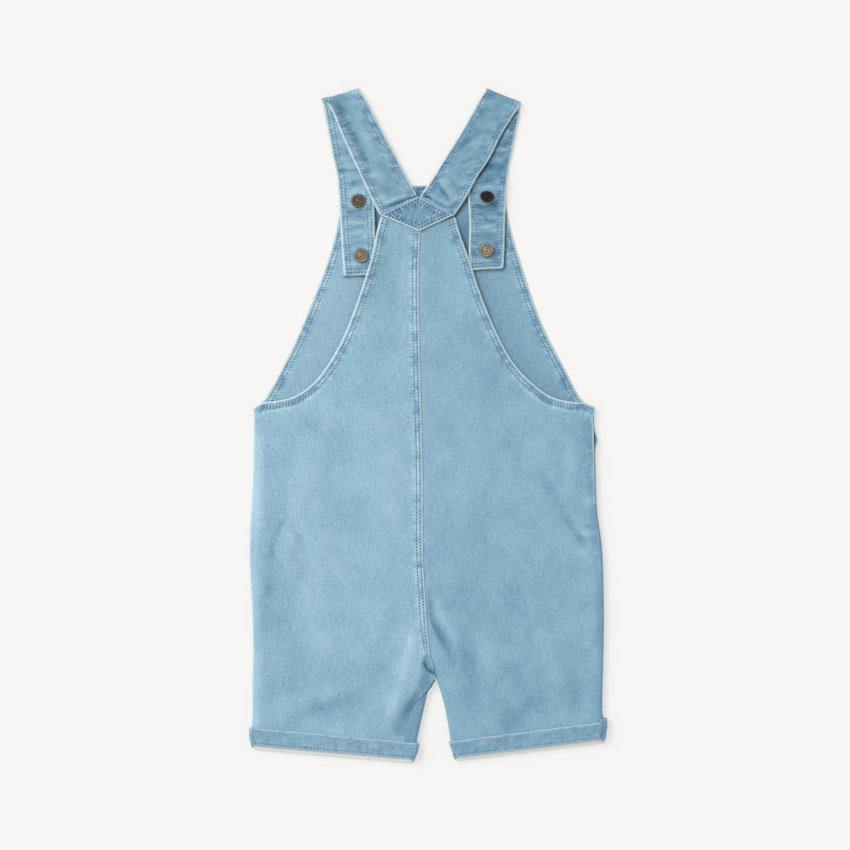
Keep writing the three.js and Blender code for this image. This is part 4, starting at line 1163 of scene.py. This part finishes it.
# Cross sections down each run: x, y and height of the left end, then of the right end. The fold's have no
# height, because it goes round from the front run to the back run.
STRAPS = {
    "left": {
        "front": [
            [-66.5, 119.9, 1.6, -40.8, 120.6, 1.6], [-68.3, 143.2, 1.6, -42.0, 143.6, 1.6],
            [-69.7, 166.8, 1.6, -42.8, 167.2, 1.6], [-70.8, 183.0, 1.6, -43.5, 183.2, 1.6],
            [-71.7, 193.4, 1.6, -44.5, 193.6, 1.6], [-73.0, 203.0, 0.0, -45.4, 203.4, 0.0],
            [-76.0, 216.7, 0.0, -46.9, 217.4, 0.0], [-80.5, 240.4, 0.0, -49.6, 242.4, 0.0],
            [-82.6, 251.0, 0.0, -51.8, 256.6, 0.0],
        ],
        "fold": [-84.8, 261.2, -55.0, 269.1],
        "back": [
            [-79.8, 257.0, 4.3, -50.4, 261.4, 4.3], [-76.9, 252.6, 4.3, -48.2, 257.4, 4.3],
            [-74.0, 246.6, 4.3, -45.6, 252.4, 4.3],
            [-68.0, 231.9, 4.4, -36.0, 234.0, 4.3], [-60.0, 214.0, 5.2, -26.1, 215.6, 4.3],
            [-52.8, 198.8, 6.1, -17.6, 199.2, 4.4], [-44.8, 181.5, 6.0, -9.6, 184.6, 4.4],
            [-39.6, 171.6, 4.8, -8.6, 182.6, 4.4], [-37.4, 167.6, 4.4, -9.0, 179.6, 4.4],
        ],
    },
    "right": {
        "front": [
            [33.6, 124.4, 1.6, 60.0, 126.0, 1.6], [33.4, 140.2, 1.6, 60.8, 140.6, 1.6],
            [33.9, 162.8, 1.6, 61.4, 163.0, 1.6], [32.9, 183.0, 1.6, 62.3, 183.0, 1.6],
            [34.2, 193.6, 1.6, 63.2, 193.4, 1.6], [36.0, 203.4, 0.0, 64.4, 203.0, 0.0],
            [38.4, 217.4, 0.0, 66.8, 216.7, 0.0], [42.4, 242.0, 0.0, 71.2, 238.4, 0.0],
            [45.0, 256.4, 0.0, 73.2, 248.0, 0.0],
        ],
        "fold": [47.4, 269.7, 74.8, 258.3],
        "back": [
            [42.0, 261.0, 4.3, 69.8, 250.4, 4.3], [36.8, 251.6, 4.3, 65.4, 243.6, 4.3],
            [25.4, 231.6, 4.3, 57.3, 230.0, 4.5], [13.6, 212.8, 4.3, 48.6, 212.7, 5.2],
            [4.6, 198.0, 4.4, 39.2, 198.4, 6.1], [-4.4, 184.8, 4.4, 30.6, 182.4, 6.0],
            [-5.4, 182.6, 4.4, 23.2, 171.2, 4.8], [-6.0, 179.6, 4.4, 20.8, 167.6, 4.4],
        ],
    },
}
# Troughs and ridges of the back runs, then of the front runs, in the same way as the back panels'
STRAP_FOLDS = {
    "left": [
        ([[-72.8, 260], [-66.4, 244], [-52.8, 220], [-44.8, 196]], 4.2, -1.2),
        ([[-62, 262], [-54, 240], [-40, 216]], 5, 0.7), ([[-48, 206], [-30, 190]], 4, 0.4),
        ([[-38, 171.6], [-33, 173.6], [-24, 177.2], [-13, 181.6], [-8, 183.4]], 1.1, -2.4),
        ([[-38, 175.4], [-33, 177.2], [-25, 180.4], [-14, 184.4]], 1.6, 1.1),
        ([[-46, 184], [-26, 189]], 2.4, -0.4), ([[-72, 240], [-60, 236]], 2, -0.6),
        ([[-60, 214], [-48, 211]], 2, -0.6), ([[-50, 198], [-38, 200]], 1.8, 0.5),
    ],
    "right": [
        ([[-5, 185.4], [-1.6, 183.4], [4, 179.8], [11.6, 175.4], [16, 173]], 1.0, -2.4),
        ([[-3, 187.4], [1, 185.4], [7, 181.8], [15, 177]], 1.2, 1.2),
        ([[6, 198], [9, 191], [13.6, 185], [19.4, 176]], 1.6, -1.6),
        ([[10, 199], [14, 191], [22, 181]], 1.8, 1.0),
        ([[17.6, 199.4], [21, 192], [25.6, 184]], 1.8, -0.8), ([[4, 192], [6, 187], [9, 183]], 1.5, -0.7),
        ([[26, 208], [36, 213]], 2.2, -0.8), ([[24, 222], [36, 230], [50, 236]], 3.6, -0.8),
        ([[56, 262], [46, 236], [34, 214]], 5, 0.6), ([[44, 252], [54, 250]], 2.5, -0.5),
        ([[30, 218], [40, 222]], 1.8, -0.5),
    ],
}
FRONT_RUN_FOLDS = {
    "left": [
        ([[-68.4, 170], [-60, 170.2], [-51, 172.6]], 1.3, -0.9),
        ([[-55.6, 166.4], [-49, 164.8]], 1.3, -0.7),
        ([[-60, 156.8], [-49, 160.2]], 1.5, -0.8),
        ([[-64.6, 149.4], [-55, 150.4], [-47.6, 153.4]], 1.4, -0.9),
        ([[-66, 163], [-54, 161]], 2.4, 0.6), ([[-64, 192.6], [-50, 194]], 2.2, -0.8),
        ([[-66, 188.6], [-48, 189.6]], 2.2, 0.7), ([[-60, 127.6], [-55, 127.8]], 2.0, 1.6),
        ([[-74, 214], [-56, 220]], 2.6, -0.7), ([[-76, 226], [-60, 230]], 2.4, 0.5),
    ],
    "right": [
        ([[39.4, 176.2], [44.4, 174.1], [48.6, 175.8], [55.6, 179.4]], 1.2, -1.3),
        ([[38.6, 180.0], [42, 177.4], [47, 176.8], [52, 178.8]], 1.0, 1.0),
        ([[41, 188], [49.2, 195.4], [56, 195.6]], 1.3, -0.9),
        ([[40, 169.4], [44.6, 167.4], [48.4, 163.6], [55, 162.8]], 1.4, -1.0),
        ([[38.4, 160], [47, 158], [56, 161]], 1.6, 0.9), ([[37.6, 171.6], [44, 170.6]], 1.6, 0.8),
        ([[37, 135.8], [43.4, 134]], 1.4, -1.1), ([[38, 131], [52, 130]], 1.7, 1.3),
        ([[44, 154], [56, 152]], 1.6, -0.6), ([[42, 208], [58, 204]], 2.4, -0.8),
        ([[42, 222], [62, 220]], 2.6, 0.6),
    ],
}
SNAP_PLACES = {"left": [SNAP_IN_OUTLINES[:2], (-53.2, 135.8)], "right": [(47.4, 183.0), (47.0, 139.8)]}
strap_seed = {"left": 61, "right": 81}
# The left strap is paler than the right: painted light, as the light falls from the left
strap_ground = {"left": (0.22, 0.387, 0.5), "right": (0.195, 0.353, 0.468)}


def strap_grid(strap):
    """The face that is outermost at the shoulder, from the front end to the back end, with the distances of
    each place from both edges and of each row from the front end."""
    radius = STRAP_DENIM + GAP / 2
    left_x, left_y, right_x, right_y = strap["fold"]
    outward = np.array([left_y - right_y, right_x - left_x]) / math.hypot(left_y - right_y, right_x - left_x)
    rows = [list(row) for row in strap["front"]]
    for angle in np.linspace(0, np.pi, 9):
        out = radius * (math.sin(angle) - 1)
        up = radius * (1 - math.cos(angle))
        rows.append([left_x + outward[0] * out, left_y + outward[1] * out, up,
                     right_x + outward[0] * out, right_y + outward[1] * out, up])
    rows += [list(row) for row in strap["back"]]
    line = fine_line(rows, 24)
    ends = along_line(line, np.linspace(0, 1, STRAP_ROWS))
    left_end, right_end = ends[:, :3], ends[:, 3:]
    width = np.linalg.norm(right_end - left_end, axis=1)[:, None]
    from_left = cloth_lengths(width, STRAP_STEPS, 16)
    grid = left_end[:, None] + (right_end - left_end)[:, None] * (from_left / width)[..., None]
    return grid, from_left, width - from_left, run_along((left_end + right_end) / 2)


for side in ("left", "right"):
    strap = STRAPS[side]
    outer, from_left, from_right, run = strap_grid(strap)
    normal = normals_of(outer)
    fold_row = int(outer[:, STRAP_MIDDLE, 1].argmax())
    back_part = outer[:, :, 2].mean(1) > 2.2
    # The outer face looks up on the back run
    if normal[-20, STRAP_MIDDLE, 2] < 0:
        normal = -normal
    inner = outer - normal * STRAP_DENIM
    edge = np.minimum(from_left, from_right)
    from_end = np.broadcast_to(run[:, None], edge.shape)
    run_here = from_end + np.where(from_left < from_right, 0, SEAM_SPAN)
    height, faded = sewn_edge(edge, run_here, HEM_ROWS, strap_seed[side], 0.3, 0.6)
    rumple = value_noise(from_end / 9, from_left / 8, 63) + 0.5 * value_noise(from_end / 4, from_left / 7, 64)
    x, y = outer[..., 0], outer[..., 1]
    folds = fold_height(x, y, STRAP_FOLDS[side], 0.72) * back_part[:, None]
    pulls = value_noise(from_end / 3.2, edge / 9, 66) * smooth((edge - 4) / 3) * (1 - smooth((edge - 9) / 5))
    gathers = sharp_dents(from_end / 2.6, edge / 13, 70) * smooth((edge - 0.8) / 0.8)
    gathers = gathers * (1 - smooth((edge - 6.2) / 4.5))
    height = height + 0.22 * gathers
    outer = outer + normal * (height + rumple * 0.35 + 0.3 * pulls + folds)[..., None]
    outer[..., 2] = np.maximum(outer[..., 2], 0.02)
    # The other face, which is the upper one of the front run: bars across it, dents round the snaps
    bars = value_noise(from_end / 4.6, from_left / 22, 67) + sharp_dents(from_end / 8, from_left / 18, 68)
    bars = bars * smooth((edge - 1) / 4)
    dents = np.zeros_like(x)
    for snap_x, snap_y in SNAP_PLACES[side]:
        away = np.hypot(x - snap_x, y - snap_y)
        dents += 0.3 * bell(away - 7.2, 1.5) - 0.3 * bell(away - 11.0, 2.0)
    end_height = sewn_edge(from_end, from_left, HEM_ROWS, 69, 0.3, 0.3)[0] * (from_end < 12)
    run_folds = fold_height(x, y, FRONT_RUN_FOLDS[side], 0.75) * (~back_part)[:, None]
    under = np.maximum(height, end_height) + (0.4 * bars + dents) * (~back_part)[:, None] + 0.8 * run_folds
    # Painted shade on the front run: on the right, a shadow line beside the back run's edge, darker towards
    # the shoulder and paler near the lower end; on the left, an even paler tone
    if side == "left":
        painted_shade_and_tone = -0.6
    else:
        over_it = beside(drawn_line([row[3:5] for row in strap["back"][:6]]), 1.2)
        painted_shade_and_tone = 3.4 * bell(near_line(inner, over_it)[0], 0.85) + 0.5 * smooth((y - 188) / 8)
        painted_shade_and_tone -= 0.8 * (1 - smooth((y - 128) / 14))
    inner = inner - normal * under[..., None]
    by_end = (from_end < edge) & (from_end < 14)
    seam_run = np.where(by_end, from_left + 2 * SEAM_SPAN, run_here)
    seam = np.dstack([seam_run, np.where(by_end, from_end, edge)])
    uv = np.dstack([from_left, from_end])
    at_fold = bell(run - run[fold_row], 2.2)[:, None]
    # Painted light and shade: the colour follows the gathers, folds, rumples, pulls, bars, dents round the
    # snaps and creases of the front run, paler or darker with their heights. It is also darker at the
    # shoulder fold
    faded = faded + 0.6 * gathers - 0.9 * at_fold
    if side == "right":
        folds = folds + 0.35 * smooth((206 - y) / 14) * back_part[:, None]
    outer_fading_and_painted_light = faded + folds * 1.15 + 0.5 * rumple + 0.75 * pulls
    inner_fading_and_painted_light = faded + 0.75 * bars + dents * 1.3 + 1.5 * run_folds - painted_shade_and_tone
    marks = {"worn": 1 - 0.7 * at_fold, "faded": np.stack([outer_fading_and_painted_light, inner_fading_and_painted_light])}
    strap_denim = denim(f"strap_denim_{side}", strap_ground[side], line_width=0.87, rubbed=0.65)
    cloth = closed_wall(f"strap_band_{side}", outer, inner, uv, seam, marks, strap_denim)
    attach(cloth, "root")
    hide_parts(f"strap_{side}")
    lines = []
    for face in (outer, inner):
        for distance in HEM_ROWS:
            column = STRAP_STEPS.index(distance)
            for rows in (slice(2, fold_row - 6), slice(fold_row + 6, -6)):
                lines += [face[rows, column], face[rows, -1 - column]]
    for distance in HEM_ROWS:
        row = int(np.argmin(np.abs(run - distance)))
        lines.append(inner[row, 5:-5])
    lines = [np.maximum(line, [-1000, -1000, 0.3]) for line in lines]
    threads_here = stitch(f"strap_stitches_{side}", lines, seed=11)
    strap_lint = lint_between(f"strap_lint_{side}", lines, radius=0.24)

# Patch
# A diamond of the same denim where the straps cross, turned in all round and sewn with two rows. It covers
# the ends of the straps and the tops of the back panels.
diamond_corners = [(-37.6, 167.9), (-7.6, 182.5), (20.8, 167.9), (-6.9, 155.2)]
PATCH_UNDER = 4.7
PATCH_STEPS = 44
PATCH_ROWS = (1.9, 4.6)
SIDE_SPAN = 60


def patch_grid(corners, steps):
    """Places of a flat four-cornered patch, in rows along its upper left side."""
    west, north, east, south = [np.array(corner, float) for corner in corners]
    share = np.linspace(0, 1, steps)
    over, down = np.meshgrid(share, share)
    over, down = over[..., None], down[..., None]
    upper = west * (1 - over) + north * over
    lower = south * (1 - over) + east * over
    return upper * (1 - down) + lower * down


flat = patch_grid(diamond_corners, PATCH_STEPS)
sides = [(diamond_corners[k], diamond_corners[(k + 1) % 4]) for k in range(4)]
edge = np.full(flat.shape[:2], np.inf)
run = np.zeros(flat.shape[:2])
for number, (start, end) in enumerate(sides):
    start, end = np.array(start), np.array(end)
    direction = (end - start) / np.linalg.norm(end - start)
    along = (flat - start) @ direction
    away = np.abs((flat - start) @ np.array([-direction[1], direction[0]]))
    run = np.where(away < edge, along + SIDE_SPAN * number, run)
    edge = np.minimum(edge, away)
crown = 0.5 * smooth(edge / 8)
outer = np.dstack([flat, PATCH_UNDER + DENIM + crown])
inner = outer - np.array([0, 0, DENIM])
height, faded = sewn_edge(edge, run, PATCH_ROWS, 71, 0.35, 0.25)
outer = moved(outer, 0 * edge, height)
seam = np.dstack([run, edge])
upper_side = (run % (4 * SIDE_SPAN) < 2 * SIDE_SPAN) & (edge < 1.4)
marks = {"worn": np.where(upper_side, 0.3, 1.0), "faded": faded - 0.1}
patch_denim = denim("patch_denim", (0.192, 0.355, 0.485), line_width=1.15, rubbed=1.25)
cloth = closed_wall("patch", outer, inner, flat, seam, marks, patch_denim)
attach(cloth, "root")
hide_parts("back_diamond")


def inset(corners, distance):
    """The corners of a shape moved in from all its sides, closed to a ring."""
    count = len(corners)
    moved = []
    for k in range(count):
        before, here, after = (np.array(corners[(k + step) % count], float) for step in (-1, 0, 1))
        first = (here - before) / np.linalg.norm(here - before)
        second = (after - here) / np.linalg.norm(after - here)
        one, other = np.array([first[1], -first[0]]), np.array([second[1], -second[0]])
        moved.append(here + distance * (one + other) / (1 + one @ other))
    return moved + moved[:1]


lines = []
for distance in PATCH_ROWS:
    ring = np.array(inset(diamond_corners, distance))
    for start, end in zip(ring, ring[1:]):
        share = np.linspace(0, 1, 24)[:, None]
        lines.append(laid_on(start * (1 - share) + end * share, outer, 0.2))
navy_thread = lint_thread("navy_thread", (0.03, 0.085, 0.2, 1), (0.09, 0.19, 0.36, 1))
threads_here = stitch("patch_stitches", lines, pitch=2.7, length=2.1, seed=13, fibre=navy_thread)
patch_lint = lint_between("patch_lint", lines, pitch=2.7, radius=0.36)

# Snaps
# Two pressed metal caps on each front run, closed. A cap has a rolled rim, a ring of fine ribs, a sunk ring
# and a domed middle, and their old brass has gone dark by different amounts.
# Colour of the brass, how much of it is left where it isn't rubbed bright, and the cap's tilt in degrees
snap_finish = {
    "snap_upper_left": ((0.31, 0.255, 0.185), 0.13, (0, 0)),
    "snap_lower_left": ((0.43, 0.365, 0.275), 0.42, (0, 0)),
    "snap_upper_right": ((0.06, 0.042, 0.028), 0.06, (-33, -8)),
    "snap_lower_right": ((0.385, 0.34, 0.255), 0.6, (0, 0)),
}
# Radius and height down a cap's section, from the middle of its foot round the rim to the middle of its top
snap_profile = [
    (0.0, 0.0), (4.9, 0.0), (5.35, 0.25), (5.6, 0.7), (5.58, 1.1), (5.35, 1.5), (4.95, 1.72), (4.55, 1.66),
    (4.3, 1.42), (4.15, 1.36), (3.5, 1.38), (2.95, 1.36), (2.75, 1.42), (2.55, 1.6), (2.25, 1.62),
    (2.05, 1.42), (1.85, 1.34), (1.55, 1.45), (1.1, 1.68), (0.6, 1.8), (0.0, 1.83),
]
SNAP_COLUMNS = 132
SNAP_RIBS = 24
RIB_HEIGHT = 0.42


def cap_mesh():
    """A cap in millimetres, its foot on the ground: the places of its mesh and its faces."""
    angles = np.linspace(0, 2 * np.pi, SNAP_COLUMNS, endpoint=False)
    places, faces = [(0, 0, 0)], []
    for radius, up in snap_profile[1:-1]:
        ribs = RIB_HEIGHT * np.cos(angles * SNAP_RIBS) * bell(radius - 3.9, 0.75) * (up > 1)
        places += [(radius * math.cos(a), radius * math.sin(a), up + r) for a, r in zip(angles, ribs)]
    places.append((0, 0, snap_profile[-1][1]))
    rings = len(snap_profile) - 2
    for k in range(SNAP_COLUMNS):
        following = (k + 1) % SNAP_COLUMNS
        faces.append((0, 1 + following, 1 + k))
        for ring in range(rings - 1):
            low, high = 1 + ring * SNAP_COLUMNS, 1 + (ring + 1) * SNAP_COLUMNS
            faces.append((low + k, low + following, high + following, high + k))
        last = 1 + (rings - 1) * SNAP_COLUMNS
        faces.append((last + k, last + following, len(places) - 1))
    return np.array(places, float), faces


def tilted(places, tilt):
    """The places turned about x, then about y, by angles in degrees."""
    grid = places.copy()
    for axis, angle in enumerate(tilt):
        cosine, sine = math.cos(math.radians(angle)), math.sin(math.radians(angle))
        flat, up = grid[:, 1 - axis].copy(), grid[:, 2].copy()
        grid[:, 1 - axis] = flat * cosine - up * sine
        grid[:, 2] = flat * sine + up * cosine
    return grid


def old_brass(name, ground, dulled):
    """Brass of one tone, speckled, bright where it is polished and dull elsewhere."""
    material, tree, shader = new_material(name)
    place = put(tree, "ShaderNodeTexCoord").outputs["Object"]
    spots = stretched_noise(tree, place, (900, 900, 900), 3, 0.6, lift=1)
    patches = stretched_noise(tree, place, (260, 260, 260), 2, lift=6)
    speckled = maths(tree, "ADD", times(tree, spots, 0.5), times(tree, patches, 0.7))
    base = np.array(ground)
    deep, light, dull = (*(base * 0.55), 1), (*np.minimum(1, base * 1.5), 1), (*(base * dulled), 1)
    bright = mixed_colour(tree, ramp(tree, speckled, 0.35, 0.85), deep, light)
    polish = put(tree, "ShaderNodeAttribute", attribute_name="polish").outputs["Fac"]
    tree.links.new(mixed_colour(tree, polish, dull, bright), shader.inputs["Base Color"])
    node_input(shader, "Metallic", 0.7)
    tree.links.new(ramp(tree, speckled, 0.3, 0.9, 0.42, 0.62), shader.inputs["Roughness"])
    bump = put(tree, "ShaderNodeBump", {"Height": spots, "Distance": 0.0001, "Strength": 0.3})
    tree.links.new(bump.outputs[0], shader.inputs["Normal"])
    return material


def snap_cap(name, finish, dulled, tilt):
    """A cap in the middle of its snap's box, tilted about it, polished on its ribs, its ring and its dome."""
    places, faces = cap_mesh()
    low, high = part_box(name)
    raised = 4.2 * math.sin(math.radians(abs(tilt[0]))) / 1000
    centre = np.array([(low.x + high.x) / 2, (low.y + high.y) / 2 - raised * 0.5, low.z + raised])
    mesh = bpy.data.meshes.new(name + "_cap")
    mesh.from_pydata((tilted(places, tilt) / 1000 + centre).tolist(), [], faces)
    reach = np.hypot(places[:, 0], places[:, 1])
    turn = np.arctan2(places[:, 1], places[:, 0])
    ticks = np.clip(0.25 + 0.9 * np.cos(turn * SNAP_RIBS + 0.8 * np.sin(turn * 3)), 0, 1)
    polish = 0.75 * bell(reach - 2.35, 0.35) + 1.1 * bell(reach, 0.7)
    polish += (0.15 + 0.95 * ticks) * smooth((reach - 3.3) / 0.4) * (1 - 0.75 * smooth((reach - 5.2) / 0.3))
    mark = mesh.attributes.new("polish", "FLOAT", "POINT")
    mark.data.foreach_set("value", np.clip(polish, 0, 1).astype(np.float32))
    mesh.shade_smooth()
    mesh.materials.append(old_brass(name + "_brass", finish, dulled))
    cap = put_in_scene(name + "_cap", mesh)
    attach(cap, "root")
    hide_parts(name)


for name, (finish, dulled, tilt) in snap_finish.items():
    snap_cap(name, finish, dulled, tilt)
